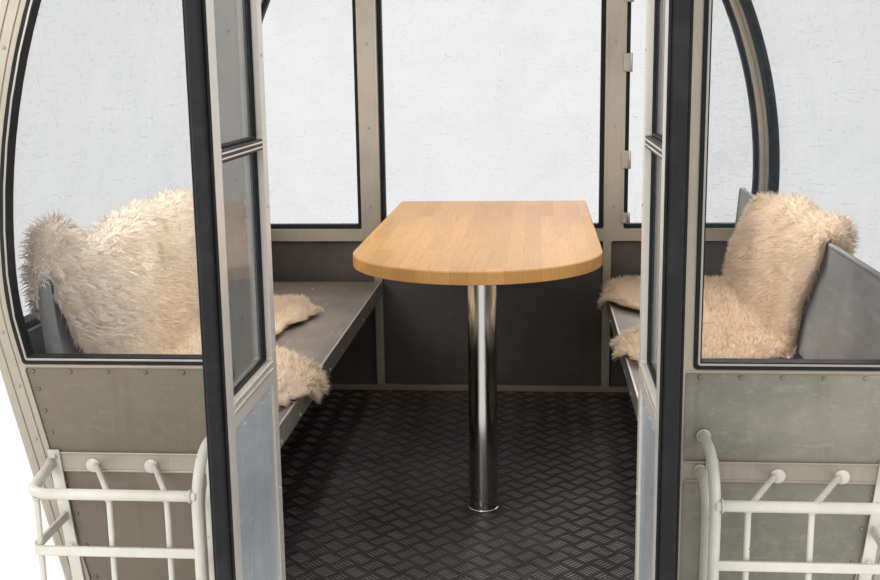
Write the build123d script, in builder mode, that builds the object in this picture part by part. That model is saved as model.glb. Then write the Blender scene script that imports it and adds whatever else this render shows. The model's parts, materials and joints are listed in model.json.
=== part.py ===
"""Eight-seat gondola cabin with its hanger and rope grip, seen in the photo from its open door side.

Millimetres. +X runs along the rope, +Y points away from the door side, +Z is up.
The origin is on the rope's axis in the middle of the grip; the cabin hangs below it.
Heights named *_Z inside the cabin count from the top of its floor.
"""

from math import asin, cos, degrees, radians, sin, sqrt, tan
import os

from build123d import *

os.makedirs("parts", exist_ok=True)

# Driving dimensions of the cabin
ROPE_TO_FLOOR = 3950.0      # rope axis above the floor
HALF_DEPTH = 930.0          # door-side and back faces from the middle
WALL = 50.0                 # thickness of the door-side and back frames
WAIST_X, WAIST_Z = 988.0, 770.0     # widest point of the end walls
UPPER_R, LOWER_R = 1600.0, 700.0    # arcs of the end walls above and below the waist
LEAN = 12.5                 # degrees that the end walls lean in below the waist
SHOULDER_Z, SHOULDER_R = 1850.0, 300.0
SHOULDER_END = 84.0         # degrees from level where the shoulder meets the roof arc
PAN_Z = -90.0               # underside of the floor pan
DOOR_HALF, DOOR_TOP_Z, SILL_Z = 400.0, 1830.0, 8.0
RING = 58.0                 # width of the corner profile outside a side window
GROOVES = ((22.0, 25.0), (44.0, 47.0))  # insets of the corner profile's two grooves
GROOVE_DEPTH = 2.0
GASKET = 15.0               # width of the rubber round a pane
PANE = 5.0                  # thickness of a pane
PANE_LOW_Z, PANE_TOP_Z = 595.0, 1650.0
BACK_LOW_Z, BACK_TOP_Z = 613.0, 1690.0
POST_IN, POST_OUT = 396.0, 466.0    # posts of the back wall
SKIN = 35.0                 # roof and end walls
PANEL = 30.0                # lower panels
BELT_LOW_Z, BELT_TOP_Z = 345.0, 388.0

# Driving dimensions of the furniture
SEAT_Z, SEAT_FRONT, SEAT_T = 410.0, 400.0, 26.0
BACKREST_TOP_Z, BACKREST_X, BACKREST_T = 735.0, 862.0, 12.0
TABLE_Z, TABLE_T = 700.0, 32.0
TABLE_TIP_Y, TABLE_X, TABLE_HALF = -520.0, 6.0, 326.0
LEG_R, LEG_X, LEG_Y = 38.0, 19.0, -231.0

# Driving dimensions of the doors
LEAF_T = 38.0
HINGE_X, HINGE_Y = 408.0, -938.0
LEAF_GAP = 5.0              # half the gap between the closed leaves
LEAF_LOW_Z, LEAF_TOP_Z = 15.0, 1822.0
FREE_STILE, HINGE_STILE = 45.0, 35.0    # widths of a leaf's uprights
RUBBER, RUBBER_W = 15.0, 26.0           # seal on a leaf's free edge: how far it stands out, and its width

# Driving dimensions of the grip and hanger
ROPE_R = 20.0
JAW_LENGTH = 180.0
PIN_R, PIN_Z = 22.0, -75.0
HANGER_Y, HANGER_R = -182.0, 44.5
WHEEL_R, WHEEL_X, WHEEL_Z = 55.0, 172.0, 105.0
RUN = 0.05                  # radial clearance of a running fit
SHORT_RUN = 40.0            # a shorter straight run at a bay's foot joins the arc above it

FLOOR = Plane.XY.offset(-ROPE_TO_FLOOR)
# Sections of the cabin lie on this plane: its x is X, its y is height above the floor, its normal is -Y
SECTION = Plane(origin=(0, 0, -ROPE_TO_FLOOR), x_dir=(1, 0, 0), z_dir=(0, -1, 0))
# Side views lie on this plane: its x is Y, its y is height above the floor, its normal is +X
SIDE = Plane(origin=(0, 0, -ROPE_TO_FLOOR), x_dir=(0, 1, 0), z_dir=(1, 0, 0))
# Side views of the grip, measured from the rope's axis
GRIP_SIDE = Plane(origin=(0, 0, 0), x_dir=(0, 1, 0), z_dir=(1, 0, 0))
GRIP_FRONT = Plane(origin=(0, 0, 0), x_dir=(1, 0, 0), z_dir=(0, -1, 0))

UPPER_C = (WAIST_X - UPPER_R, WAIST_Z)
LOWER_C = (WAIST_X - LOWER_R, WAIST_Z)
SHOULDER_A = degrees(asin((SHOULDER_Z - WAIST_Z) / UPPER_R))
SHOULDER_C = (UPPER_C[0] + (UPPER_R - SHOULDER_R) * cos(radians(SHOULDER_A)),
              UPPER_C[1] + (UPPER_R - SHOULDER_R) * sin(radians(SHOULDER_A)))
ROOF_R = SHOULDER_C[0] / cos(radians(SHOULDER_END)) + SHOULDER_R
ROOF_C = (0.0, SHOULDER_C[1] - (ROOF_R - SHOULDER_R) * sin(radians(SHOULDER_END)))
ROOF_TOP_Z = ROOF_C[1] + ROOF_R


def on_arc(centre, radius, angle):
    """Point of an arc at an angle in degrees from level."""
    return (centre[0] + radius * cos(radians(angle)), centre[1] + radius * sin(radians(angle)))


def wall_x(height, inset=0.0):
    """Half length of the cabin at a height, measured inside its skin by the inset."""
    tangent = on_arc(LOWER_C, LOWER_R - inset, -LEAN)
    if height < tangent[1]:
        return tangent[0] - (tangent[1] - height) * tan(radians(LEAN))
    if height < WAIST_Z:
        return LOWER_C[0] + sqrt((LOWER_R - inset) ** 2 - (WAIST_Z - height) ** 2)
    return UPPER_C[0] + sqrt((UPPER_R - inset) ** 2 - (height - WAIST_Z) ** 2)


def wall_pieces(inset, low, top):
    """Runs of the end wall from a low height to a top one, each as start, middle (or None), end."""
    tangent_z = on_arc(LOWER_C, LOWER_R - inset, -LEAN)[1]
    stops = [low] + [z for z in (tangent_z, WAIST_Z) if low + SHORT_RUN < z < top] + [top]
    runs = []
    for z0, z1 in zip(stops, stops[1:]):
        middle = (z0 + z1) / 2
        bent = None if z1 <= tangent_z + 0.01 else (wall_x(middle, inset), middle)
        runs.append(((wall_x(z0, inset), z0), bent, (wall_x(z1, inset), z1)))
    return runs


def roof_pieces(inset):
    """Runs from the end wall's top over the shoulder to the middle of the roof."""
    start = (wall_x(SHOULDER_Z, 0), SHOULDER_Z) if inset == 0 else on_arc(UPPER_C, UPPER_R - inset, SHOULDER_A)
    runs = [(start,
             on_arc(SHOULDER_C, SHOULDER_R - inset, (SHOULDER_A + SHOULDER_END) / 2),
             on_arc(SHOULDER_C, SHOULDER_R - inset, SHOULDER_END))]
    half = (SHOULDER_END + 90) / 2
    runs.append((runs[0][2], on_arc(ROOF_C, ROOF_R - inset, half), on_arc(ROOF_C, ROOF_R - inset, 90)))
    return runs


def draw(runs, flip=1, back=False):
    """Draw runs into the BuildLine in use; flip -1 mirrors them to -X, back draws them in reverse."""
    for start, middle, end in (reversed(runs) if back else runs):
        points = [(flip * p[0], p[1]) for p in (start, middle, end) if p]
        points = points[::-1] if back else points
        if len(points) == 2:
            Line(*points)
        else:
            ThreePointArc(*points)


def outline(inset, low):
    """Closed outline of the whole cabin inside its skin by the inset, down to a low height."""
    top = on_arc(UPPER_C, UPPER_R - inset, SHOULDER_A)[1]
    runs = wall_pieces(inset, low, top) + roof_pieces(inset)
    draw(runs)
    draw(runs, flip=-1, back=True)
    Line((-wall_x(low, inset), low), (wall_x(low, inset), low))


def band(outer, inner, low, top, flip=1):
    """Closed outline of a strip of one end wall between two insets and two heights."""
    draw(wall_pieces(outer, low, top), flip)
    Line((flip * wall_x(top, outer), top), (flip * wall_x(top, inner), top))
    draw(wall_pieces(inner, low, top), flip, back=True)
    Line((flip * wall_x(low, inner), low), (flip * wall_x(low, outer), low))


def bay(x, inset, low, top, flip=1):
    """Closed outline of a bay of the door-side or back wall, from an upright at x out to the end wall."""
    Line((flip * x, low), (flip * wall_x(low, inset), low))
    draw(wall_pieces(inset, low, top), flip)
    Polyline((flip * wall_x(top, inset), top), (flip * x, top), (flip * x, low))


def add_bay(x, inset, low, top, flip, radius, mode=Mode.ADD):
    """Face of a bay with rounded corners, for the BuildSketch in use."""
    with BuildSketch(mode=Mode.PRIVATE) as face:
        with BuildLine():
            bay(x, inset, low, top, flip)
        make_face()
        corners = face.vertices().filter_by(lambda v: abs(v.Y - low) < 0.1 or abs(v.Y - top) < 0.1)
        fillet(corners, radius)
    add(face.sketch, mode=mode)


def groove_faces(level):
    """Closed strips that follow the corner profile's grooves, at a level of SECTION along -Y."""
    strips = []
    for outer, inner in GROOVES:
        with BuildSketch(SECTION.offset(level)) as strip:
            with BuildLine():
                outline(outer, PAN_Z + outer)
            make_face()
            with BuildSketch(mode=Mode.PRIVATE) as core:
                with BuildLine():
                    outline(inner, PAN_Z + inner)
                make_face()
            add(core.sketch, mode=Mode.SUBTRACT)
        strips.append(strip.sketch)
    return strips


def save(part, label):
    part.label = label
    export_step(part, f"parts/{label}.step")


SIDES = (("left", -1), ("right", 1))

# Door-side frame: corner profile, posts, belt, sill and header in one welded frame
BAYS = (
    # upright x, inset from the skin, low, top, corner radius
    (POST_OUT + 5, RING, PANE_LOW_Z - GASKET, PANE_TOP_Z + GASKET, 8.0),
    (455.0, RING, BELT_TOP_Z, 572.0, 6.0),
    (455.0, RING, 20.0, BELT_LOW_Z, 6.0),
)
EYES_Z = (260.0, 900.0, 1560.0)
EYE_R, EYE_H, HINGE_PIN_R = 12.0, 24.0, 6.0
GUTTER_Z, GUTTER_HALF = 1848.0, 455.0

with BuildPart() as front_frame:
    with BuildSketch(SECTION.offset(HALF_DEPTH - WALL)):
        with BuildLine():
            outline(0.0, PAN_Z)
        make_face()
        with Locations((0, (SILL_Z + DOOR_TOP_Z) / 2)):
            RectangleRounded(2 * DOOR_HALF, DOOR_TOP_Z - SILL_Z, 8, mode=Mode.SUBTRACT)
        for _, flip in SIDES:
            for x, inset, low, top, radius in BAYS:
                add_bay(x, inset, low, top, flip, radius, mode=Mode.SUBTRACT)
    extrude(amount=WALL)
    skin_edges = front_frame.faces().sort_by(Axis.Y)[0].outer_wire().edges()
    chamfer(skin_edges, 9)
    for strip in groove_faces(HALF_DEPTH - GROOVE_DEPTH):
        extrude(strip, amount=GROOVE_DEPTH, mode=Mode.SUBTRACT)
    # Rain gutter over the doorway
    with BuildSketch(SIDE.offset(-GUTTER_HALF)):
        with BuildLine():
            Polyline((-HALF_DEPTH, GUTTER_Z), (-HALF_DEPTH - 22, GUTTER_Z + 5), (-HALF_DEPTH - 22, GUTTER_Z + 20),
                     (-HALF_DEPTH - 19, GUTTER_Z + 20), (-HALF_DEPTH - 19, GUTTER_Z + 8),
                     (-HALF_DEPTH - 3, GUTTER_Z + 5), (-HALF_DEPTH - 3, GUTTER_Z + 24),
                     (-HALF_DEPTH, GUTTER_Z + 24), close=True)
        make_face()
    extrude(amount=2 * GUTTER_HALF)
    for _, flip in SIDES:
        for z in EYES_Z:
            with BuildSketch(FLOOR.offset(z - EYE_H / 2)):
                with Locations((flip * HINGE_X, HINGE_Y)):
                    RegularPolygon(EYE_R, 8)
                with Locations((flip * (HINGE_X + EYE_R), HINGE_Y + EYE_R / 2)):
                    Rectangle(2 * EYE_R, 2 * EYE_R)
            extrude(amount=EYE_H)
            with BuildSketch(FLOOR.offset(z - EYE_H)):
                with Locations((flip * HINGE_X, HINGE_Y)):
                    Circle(HINGE_PIN_R + RUN)
            extrude(amount=2 * EYE_H, mode=Mode.SUBTRACT)
save(front_frame.part, "front_frame")

# Back frame: corner profile, two posts and the rails round three panes and three panels
BACK_BAYS = (
    (POST_OUT, RING, BACK_LOW_Z - GASKET, BACK_TOP_Z - 40 + GASKET, 8.0),
    (POST_IN + 28, RING, 20.0, 555.0, 6.0),
)
BACK_CENTRE = (
    # half width, low, top, corner radius
    (POST_IN, BACK_LOW_Z - GASKET, BACK_TOP_Z + GASKET, 8.0),
    (POST_IN, 20.0, 555.0, 6.0),
)

with BuildPart() as back_frame:
    with BuildSketch(SECTION.offset(-HALF_DEPTH)):
        with BuildLine():
            outline(0.0, PAN_Z)
        make_face()
        for half, low, top, radius in BACK_CENTRE:
            with Locations((0, (low + top) / 2)):
                RectangleRounded(2 * half, top - low, radius, mode=Mode.SUBTRACT)
        for _, flip in SIDES:
            for x, inset, low, top, radius in BACK_BAYS:
                add_bay(x, inset, low, top, flip, radius, mode=Mode.SUBTRACT)
    extrude(amount=WALL)
    skin_edges = back_frame.faces().sort_by(Axis.Y)[-1].outer_wire().edges()
    chamfer(skin_edges, 9)
    for strip in groove_faces(-HALF_DEPTH):
        extrude(strip, amount=GROOVE_DEPTH, mode=Mode.SUBTRACT)
save(back_frame.part, "back_frame")

# Lower panels of the door side and the back, set 4 mm into their frames
PANEL_SET = 4.0
for name, flip in SIDES:
    with BuildPart() as front_panel:
        with BuildSketch(SECTION.offset(HALF_DEPTH - PANEL_SET - PANEL)):
            for x, inset, low, top, radius in BAYS[1:]:
                add_bay(x, inset, low, top, flip, radius)
        extrude(amount=PANEL)
    save(front_panel.part, f"front_panel_{name}")

with BuildPart() as back_panels:
    with BuildSketch(SECTION.offset(-HALF_DEPTH + PANEL_SET)):
        half, low, top, radius = BACK_CENTRE[1]
        with Locations((0, (low + top) / 2)):
            RectangleRounded(2 * half, top - low, radius)
        for _, flip in SIDES:
            x, inset, low, top, radius = BACK_BAYS[1]
            add_bay(x, inset, low, top, flip, radius)
    extrude(amount=PANEL)
save(back_panels.part, "back_panels")

# End walls: a curved frame round the end pane, and a flat panel below it
END_SILL_Z, END_TOP_Z = 560.0, 1730.0
END_PANE_LOW_Z, END_PANE_TOP_Z, END_PANE_HALF = 640.0, 1650.0, 850.0
INNER = HALF_DEPTH - WALL
for name, flip in SIDES:
    with BuildPart() as end_frame:
        with BuildSketch(SECTION.offset(-INNER)):
            with BuildLine():
                band(0.0, 40.0, END_SILL_Z, END_TOP_Z, flip)
            make_face()
        extrude(amount=2 * INNER)
        with BuildSketch(SIDE.offset(0 if flip > 0 else -2 * WAIST_X)):
            with Locations((0, (END_PANE_LOW_Z + END_PANE_TOP_Z) / 2)):
                RectangleRounded(2 * (END_PANE_HALF + GASKET),
                                 END_PANE_TOP_Z - END_PANE_LOW_Z + 2 * GASKET, 40)
        extrude(amount=2 * WAIST_X, mode=Mode.SUBTRACT)
    save(end_frame.part, f"end_frame_{name}")

    with BuildPart() as end_panel:
        with BuildSketch(SECTION.offset(-INNER)):
            with BuildLine():
                band(3.0, 3.0 + PANEL, 0.0, END_SILL_Z, flip)
            make_face()
        extrude(amount=2 * INNER)
    save(end_panel.part, f"end_panel_{name}")

    with BuildPart() as end_pane:
        with BuildSketch(SECTION.offset(-INNER)):
            with BuildLine():
                band(12.0, 12.0 + PANE, END_PANE_LOW_Z - GASKET, END_PANE_TOP_Z + GASKET, flip)
            make_face()
        extrude(amount=2 * INNER)
        with BuildSketch(SIDE.offset(0 if flip > 0 else -2 * WAIST_X)):
            with Locations((0, (END_PANE_LOW_Z + END_PANE_TOP_Z) / 2)):
                RectangleRounded(2 * END_PANE_HALF, END_PANE_TOP_Z - END_PANE_LOW_Z, 25)
        extrude(amount=2 * WAIST_X, mode=Mode.INTERSECT)
    save(end_pane.part, f"pane_end_{name}")

# Panes of the door side and the back, in the middle of their frames' depth
PANE_DEPTH = 16.0           # pane's outer face behind the frame's
for name, flip in SIDES:
    with BuildPart() as pane_front:
        with BuildSketch(SECTION.offset(HALF_DEPTH - PANE_DEPTH - PANE)):
            x, inset, low, top, radius = BAYS[0]
            add_bay(x + GASKET, inset + GASKET, low + GASKET, top - GASKET, flip, radius / 2)
        extrude(amount=PANE)
    save(pane_front.part, f"pane_front_{name}")

with BuildPart() as panes_back:
    with BuildSketch(SECTION.offset(-HALF_DEPTH + PANE_DEPTH)):
        half, low, top, radius = BACK_CENTRE[0]
        with Locations((0, (low + top) / 2)):
            RectangleRounded(2 * (half - GASKET), top - low - 2 * GASKET, radius / 2)
        for _, flip in SIDES:
            x, inset, low, top, radius = BACK_BAYS[0]
            add_bay(x + GASKET, inset + GASKET, low + GASKET, top - GASKET, flip, radius / 2)
    extrude(amount=PANE)
save(panes_back.part, "panes_back")

# Rubber profiles round every pane, proud of the frame by their lips
LIP = 3.0
GASKET_DEPTH = PANE_DEPTH + PANE + 8.0
with BuildPart() as gaskets:
    for side_y, extent in ((HALF_DEPTH - GASKET_DEPTH, "front"), (-HALF_DEPTH - LIP, "back")):
        with BuildSketch(SECTION.offset(side_y)):
            for _, flip in SIDES:
                x, inset, low, top, radius = (BAYS if extent == "front" else BACK_BAYS)[0]
                add_bay(x, inset, low, top, flip, radius)
                add_bay(x + GASKET, inset + GASKET, low + GASKET, top - GASKET, flip, radius / 2,
                        mode=Mode.SUBTRACT)
            if extent == "back":
                half, low, top, radius = BACK_CENTRE[0]
                with Locations((0, (low + top) / 2)):
                    RectangleRounded(2 * half, top - low, radius)
                    RectangleRounded(2 * (half - GASKET), top - low - 2 * GASKET, radius / 2,
                                     mode=Mode.SUBTRACT)
        extrude(amount=GASKET_DEPTH + LIP)
save(gaskets.part, "gaskets_flat")

with BuildPart() as gaskets_end:
    for _, flip in SIDES:
        with BuildSketch(SECTION.offset(-INNER)):
            with BuildLine():
                band(-LIP, 30.0, END_PANE_LOW_Z - GASKET - 5, END_PANE_TOP_Z + GASKET + 5, flip)
            make_face()
        extrude(amount=2 * INNER)
    with BuildSketch(SIDE.offset(-2 * WAIST_X)):
        with Locations((0, (END_PANE_LOW_Z + END_PANE_TOP_Z) / 2)):
            RectangleRounded(2 * (END_PANE_HALF + GASKET),
                             END_PANE_TOP_Z - END_PANE_LOW_Z + 2 * GASKET, 40)
            RectangleRounded(2 * END_PANE_HALF, END_PANE_TOP_Z - END_PANE_LOW_Z, 25, mode=Mode.SUBTRACT)
    extrude(amount=4 * WAIST_X, mode=Mode.INTERSECT)
save(gaskets_end.part, "gaskets_end")

# Roof skin with the four pads that carry the hanger's dampers
MOUNT_X, MOUNT_Y, PAD_TOP_Z = 300.0, 480.0, 1968.0
with BuildPart() as roof:
    with BuildSketch(SECTION.offset(-INNER)):
        with BuildLine():
            outline(0.0, END_TOP_Z)
        make_face()
        with BuildSketch(mode=Mode.PRIVATE) as hollow:
            with BuildLine():
                outline(SKIN, END_TOP_Z)
            make_face()
        add(hollow.sketch, mode=Mode.SUBTRACT)
    extrude(amount=2 * INNER)
    with BuildSketch(FLOOR.offset(ROOF_TOP_Z - SKIN + 5)):
        with GridLocations(2 * MOUNT_X, 2 * MOUNT_Y, 2, 2):
            RectangleRounded(110, 110, 12)
    extrude(amount=PAD_TOP_Z - ROOF_TOP_Z + SKIN - 5)
save(roof.part, "roof")

# Floor: pan between the frames, tread plate on top, skids and bumpers below
PLATE_T = 3.0
with BuildPart() as floor_pan:
    with BuildSketch(SECTION.offset(-INNER)):
        low, top = PAN_Z, -PLATE_T
        Polygon((-wall_x(low), low), (wall_x(low), low), (wall_x(top), top), (-wall_x(top), top), align=None)
    extrude(amount=2 * INNER)
save(floor_pan.part, "floor_pan")

with BuildPart() as floor_plate:
    with BuildSketch(FLOOR.offset(-PLATE_T)):
        Rectangle(2 * (wall_x(0.0, 3.0 + PANEL) - 1), 2 * INNER)
    extrude(amount=PLATE_T)
save(floor_plate.part, "floor_plate")

SKID_Y, SKID_H, SKID_W = 330.0, 55.0, 90.0
with BuildPart() as skids:
    with BuildSketch(Plane(origin=(-640, 0, -ROPE_TO_FLOOR + PAN_Z), x_dir=(0, 1, 0), z_dir=(1, 0, 0))):
        with Locations((-SKID_Y, -SKID_H / 2), (SKID_Y, -SKID_H / 2)):
            Rectangle(SKID_W, SKID_H)
        with Locations((-SKID_Y, -SKID_H / 2 - 4), (SKID_Y, -SKID_H / 2 - 4)):
            Rectangle(SKID_W - 12, SKID_H - 4, mode=Mode.SUBTRACT)
    extrude(amount=1280)
    with BuildSketch(FLOOR.offset(PAN_Z - 40)):
        with Locations((-480, 0), (480, 0)):
            Rectangle(60, 2 * SKID_Y)
    extrude(amount=40)
save(skids.part, "skids")

with BuildPart() as bumpers:
    for _, flip in SIDES:
        with BuildSketch(SECTION.offset(-600)):
            with BuildLine():
                band(-32.0, 0.0, -72.0, -22.0, flip)
            make_face()
        extrude(amount=1200)
save(bumpers.part, "bumpers")

# Benches along both end walls
BENCH_Y = 862.0
WALL_IN = 45.0
RAIL = 28.0
for name, flip in SIDES:
    seat_back = wall_x(SEAT_Z, WALL_IN) - 6
    with BuildPart() as seat:
        with BuildSketch(FLOOR.offset(SEAT_Z - SEAT_T)):
            with Locations((flip * (SEAT_FRONT + seat_back) / 2, 0)):
                Rectangle(seat_back - SEAT_FRONT, 2 * BENCH_Y)
        extrude(amount=SEAT_T)
    save(seat.part, f"bench_seat_{name}")

    with BuildPart() as backrest:
        with BuildSketch(SECTION.offset(-BENCH_Y)):
            low, top = SEAT_Z + 22, BACKREST_TOP_Z
            lean = 24.0
            Polygon((flip * (BACKREST_X - lean), low), (flip * BACKREST_X, top),
                    (flip * (BACKREST_X + BACKREST_T), top), (flip * (BACKREST_X + BACKREST_T - lean), low),
                    align=None)
        extrude(amount=2 * BENCH_Y)
    save(backrest.part, f"bench_back_{name}")

    with BuildPart() as bench_frame:
        with BuildSketch(SECTION.offset(-BENCH_Y)):
            with Locations((flip * (SEAT_FRONT - 2.5), SEAT_Z - 23)):
                Rectangle(5, 52)
            with Locations((flip * (SEAT_FRONT + RAIL / 2 - 1), SEAT_Z - SEAT_T - RAIL / 2)):
                Rectangle(RAIL, RAIL)
            with Locations((flip * (seat_back - RAIL / 2), SEAT_Z - SEAT_T - RAIL / 2)):
                Rectangle(RAIL, RAIL)
        extrude(amount=2 * BENCH_Y)
        for y in (-620.0, 0.0, 620.0):
            with BuildSketch(SECTION.offset(-y - 3)):
                under = SEAT_Z - SEAT_T
                foot = 150.0
                Polygon((flip * (SEAT_FRONT + 10), under), (flip * (wall_x(under, 33.5)), under),
                        (flip * (wall_x(foot, 33.5)), foot), (flip * (SEAT_FRONT + 10), under - RAIL),
                        align=None)
            extrude(amount=6)
    save(bench_frame.part, f"bench_frame_{name}")

# Table: board to the back wall with a half-round end towards the door, on one round leg
with BuildPart() as table_top:
    shoulder_y = TABLE_TIP_Y + TABLE_HALF
    with BuildSketch(FLOOR.offset(TABLE_Z - TABLE_T)):
        with BuildLine():
            ThreePointArc((TABLE_X - TABLE_HALF, shoulder_y), (TABLE_X, TABLE_TIP_Y), (TABLE_X + TABLE_HALF, shoulder_y))
            Polyline((TABLE_X + TABLE_HALF, shoulder_y), (TABLE_X + TABLE_HALF, INNER - 2),
                     (TABLE_X - TABLE_HALF, INNER - 2), (TABLE_X - TABLE_HALF, shoulder_y))
        make_face()
    extrude(amount=TABLE_T)
    chamfer(table_top.faces().group_by(Axis.Z)[-1].edges(), 3)
save(table_top.part, "table_top")

with BuildPart() as table_leg:
    with BuildSketch(FLOOR):
        with Locations((LEG_X, LEG_Y)):
            Circle(LEG_R)
    extrude(amount=TABLE_Z - TABLE_T)
    with BuildSketch(FLOOR.offset(TABLE_Z - TABLE_T - 30)):
        with Locations((0, INNER - 17)):
            Rectangle(500, 30)
    extrude(amount=30)
save(table_leg.part, "table_supports")

# Fleeces over the seats and backrests, two on each bench
FLEECE_T = 40.0
FLEECES = {
    # low Y, high Y, top of the pile over the backrest
    "left": ((-850.0, -150.0, 850.0), (-50.0, 500.0, 808.0)),
    "right": ((-600.0, 140.0, 800.0), (220.0, 860.0, 800.0)),
}
for name, flip in SIDES:
    with BuildPart() as fleece:
        for y0, y1, top in FLEECES[name]:
            with BuildSketch(SECTION.offset(-y1)):
                bottom, over = SEAT_Z + 3.5, BACKREST_TOP_Z + 3
                front_x, strip_x = SEAT_FRONT - 16, SEAT_FRONT - 6
                knee, behind = BACKREST_X - 28, BACKREST_X + BACKREST_T + 3
                Polygon((flip * front_x, bottom - 34), (flip * strip_x, bottom - 34), (flip * strip_x, bottom),
                        (flip * knee, bottom), (flip * (BACKREST_X - 3), over), (flip * behind, over),
                        (flip * behind, over - 110), (flip * (behind + 28), over - 110),
                        (flip * (behind + 28), top - 30), (flip * behind, top),
                        (flip * (BACKREST_X - 20), top), (flip * (BACKREST_X - 46), top - 36),
                        (flip * (knee - 40), bottom + FLEECE_T + 18), (flip * (knee - 66), bottom + FLEECE_T),
                        (flip * (front_x + 14), bottom + FLEECE_T), (flip * front_x, bottom + FLEECE_T - 16),
                        align=None)
            extrude(amount=y1 - y0)
    save(fleece.part, f"fleece_{name}")

# Ski racks on the door side. The top rail and the flat lower bar come back to the wall at the outer end;
# at the inner end they are welded to a bent standard. Rods divide the rack, and a tray closes it below.
RACK_IN, RACK_OUT, RACK_WALL, RACK_DEPTH = 495.0, 830.0, 862.0, 175.0
RACK_TOP_Z, RACK_BAR_Z, RACK_TRAY_Z = 364.0, 248.0, -30.0
RACK_BAR_H = 19.0           # height of the flat lower bar
TUBE_R, ROD_R = 11.0, 6.0
TUBE_SIDES, ROD_SIDES = 12, 8       # flats round a tube and a rod
STANDARDS = (
    # x, height at the wall, distance of the upright from the wall, bend radius
    (RACK_IN, 442.0, RACK_DEPTH, 105.0),
    (RACK_IN - 4, 368.0, 100.0, 60.0),
)
DIVIDERS = (
    # x at the wall, x at the rail
    (644.0, 556.0),
    (770.0, 672.0),
)
for name, flip in SIDES:
    face_y, rail_y = -HALF_DEPTH, -HALF_DEPTH - RACK_DEPTH
    root_y = face_y + 12
    with BuildPart() as rack:
        for x, height, out, radius in STANDARDS:
            z = height - ROPE_TO_FLOOR
            with BuildLine() as standard:
                FilletPolyline((flip * x, root_y, z), (flip * x, face_y - out, z),
                               (flip * x, face_y - out, RACK_TRAY_Z - ROPE_TO_FLOOR), radius=radius)
            with BuildSketch(Plane(origin=standard.line @ 0, z_dir=standard.line % 0)):
                RegularPolygon(TUBE_R, TUBE_SIDES)
            sweep(path=standard.line)
        with BuildLine(FLOOR.offset(RACK_TOP_Z)) as rail:
            FilletPolyline((flip * RACK_IN, rail_y), (flip * RACK_OUT, rail_y),
                           (flip * RACK_WALL, root_y), radius=42)
        with BuildSketch(Plane(origin=rail.line @ 0, z_dir=rail.line % 0)):
            RegularPolygon(TUBE_R, TUBE_SIDES)
        sweep(path=rail.line)
        with BuildSketch(FLOOR.offset(RACK_BAR_Z - RACK_BAR_H / 2)):
            with BuildLine():
                FilletPolyline((flip * RACK_IN, rail_y - 6), (flip * (RACK_OUT + 1), rail_y - 6),
                               (flip * (RACK_WALL - 26), root_y), radius=24)
                offset(amount=3, side=Side.BOTH)
            make_face()
        extrude(amount=RACK_BAR_H)
        # Rods: from the wall out to the rail, and upright from the rail down to the tray
        uprights = [RACK_OUT - 12]
        for wall, at_rail in DIVIDERS:
            z = RACK_TOP_Z - 4 - ROPE_TO_FLOOR
            with BuildLine() as rod:
                Line((flip * wall, root_y, z), (flip * at_rail, rail_y + 4, z))
            with BuildSketch(Plane(origin=rod.line @ 0, z_dir=rod.line % 0)):
                RegularPolygon(ROD_R, ROD_SIDES)
            sweep(path=rod.line)
            uprights.append(at_rail)
        with BuildSketch(FLOOR.offset(RACK_TRAY_Z)):
            with Locations(*[(flip * x, rail_y + 4) for x in uprights]):
                RegularPolygon(ROD_R, ROD_SIDES)
        extrude(amount=RACK_TOP_Z - RACK_TRAY_Z)
        # Tray under the skis' tails, and the two flat bars that hold the rack to the wall
        with BuildSketch(FLOOR.offset(RACK_TRAY_Z - 6)):
            middle = (face_y + rail_y) / 2
            with Locations((flip * (RACK_IN + RACK_OUT) / 2, middle)):
                RectangleRounded(RACK_OUT - RACK_IN + 30, RACK_DEPTH - 4 + 2 * TUBE_R, 10)
        extrude(amount=6)
        for x, lean in ((RACK_IN + 18, 0.0), (RACK_WALL - 12, 0.5)):
            with BuildSketch(SECTION.offset(HALF_DEPTH)):
                slope = lean * tan(radians(LEAN))
                low, top = RACK_TRAY_Z - 6, RACK_TOP_Z + 30
                Polygon((flip * (x - 12.5 - slope * (RACK_TOP_Z - low)), low),
                        (flip * (x + 12.5 - slope * (RACK_TOP_Z - low)), low),
                        (flip * (x + 12.5 + slope * 30), top), (flip * (x - 12.5 + slope * 30), top), align=None)
            extrude(amount=5)
        split(bisect_by=Plane(origin=(0, face_y, 0), z_dir=(0, -1, 0)), keep=Keep.TOP)
    save(rack.part, f"ski_rack_{name}")

# Door leaves, standing open at a right angle to the wall
LEAF_IN = HINGE_X - LEAF_T - 8.0            # leaf's face towards the doorway
LEAF_ROOT = HINGE_Y - 15.0                  # leaf's edge at the hinges
LEAF_FREE = HINGE_Y - (HINGE_X - LEAF_GAP)  # leaf's free edge, of rubber
LEAF_EDGE = LEAF_FREE + RUBBER
RAILS_Z = (
    # low, top of each cross rail
    (LEAF_LOW_Z, LEAF_LOW_Z + 45),
    (560.0, 606.0),
    (1024.0, 1044.0),
    (LEAF_TOP_Z - 60, LEAF_TOP_Z),
)
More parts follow.
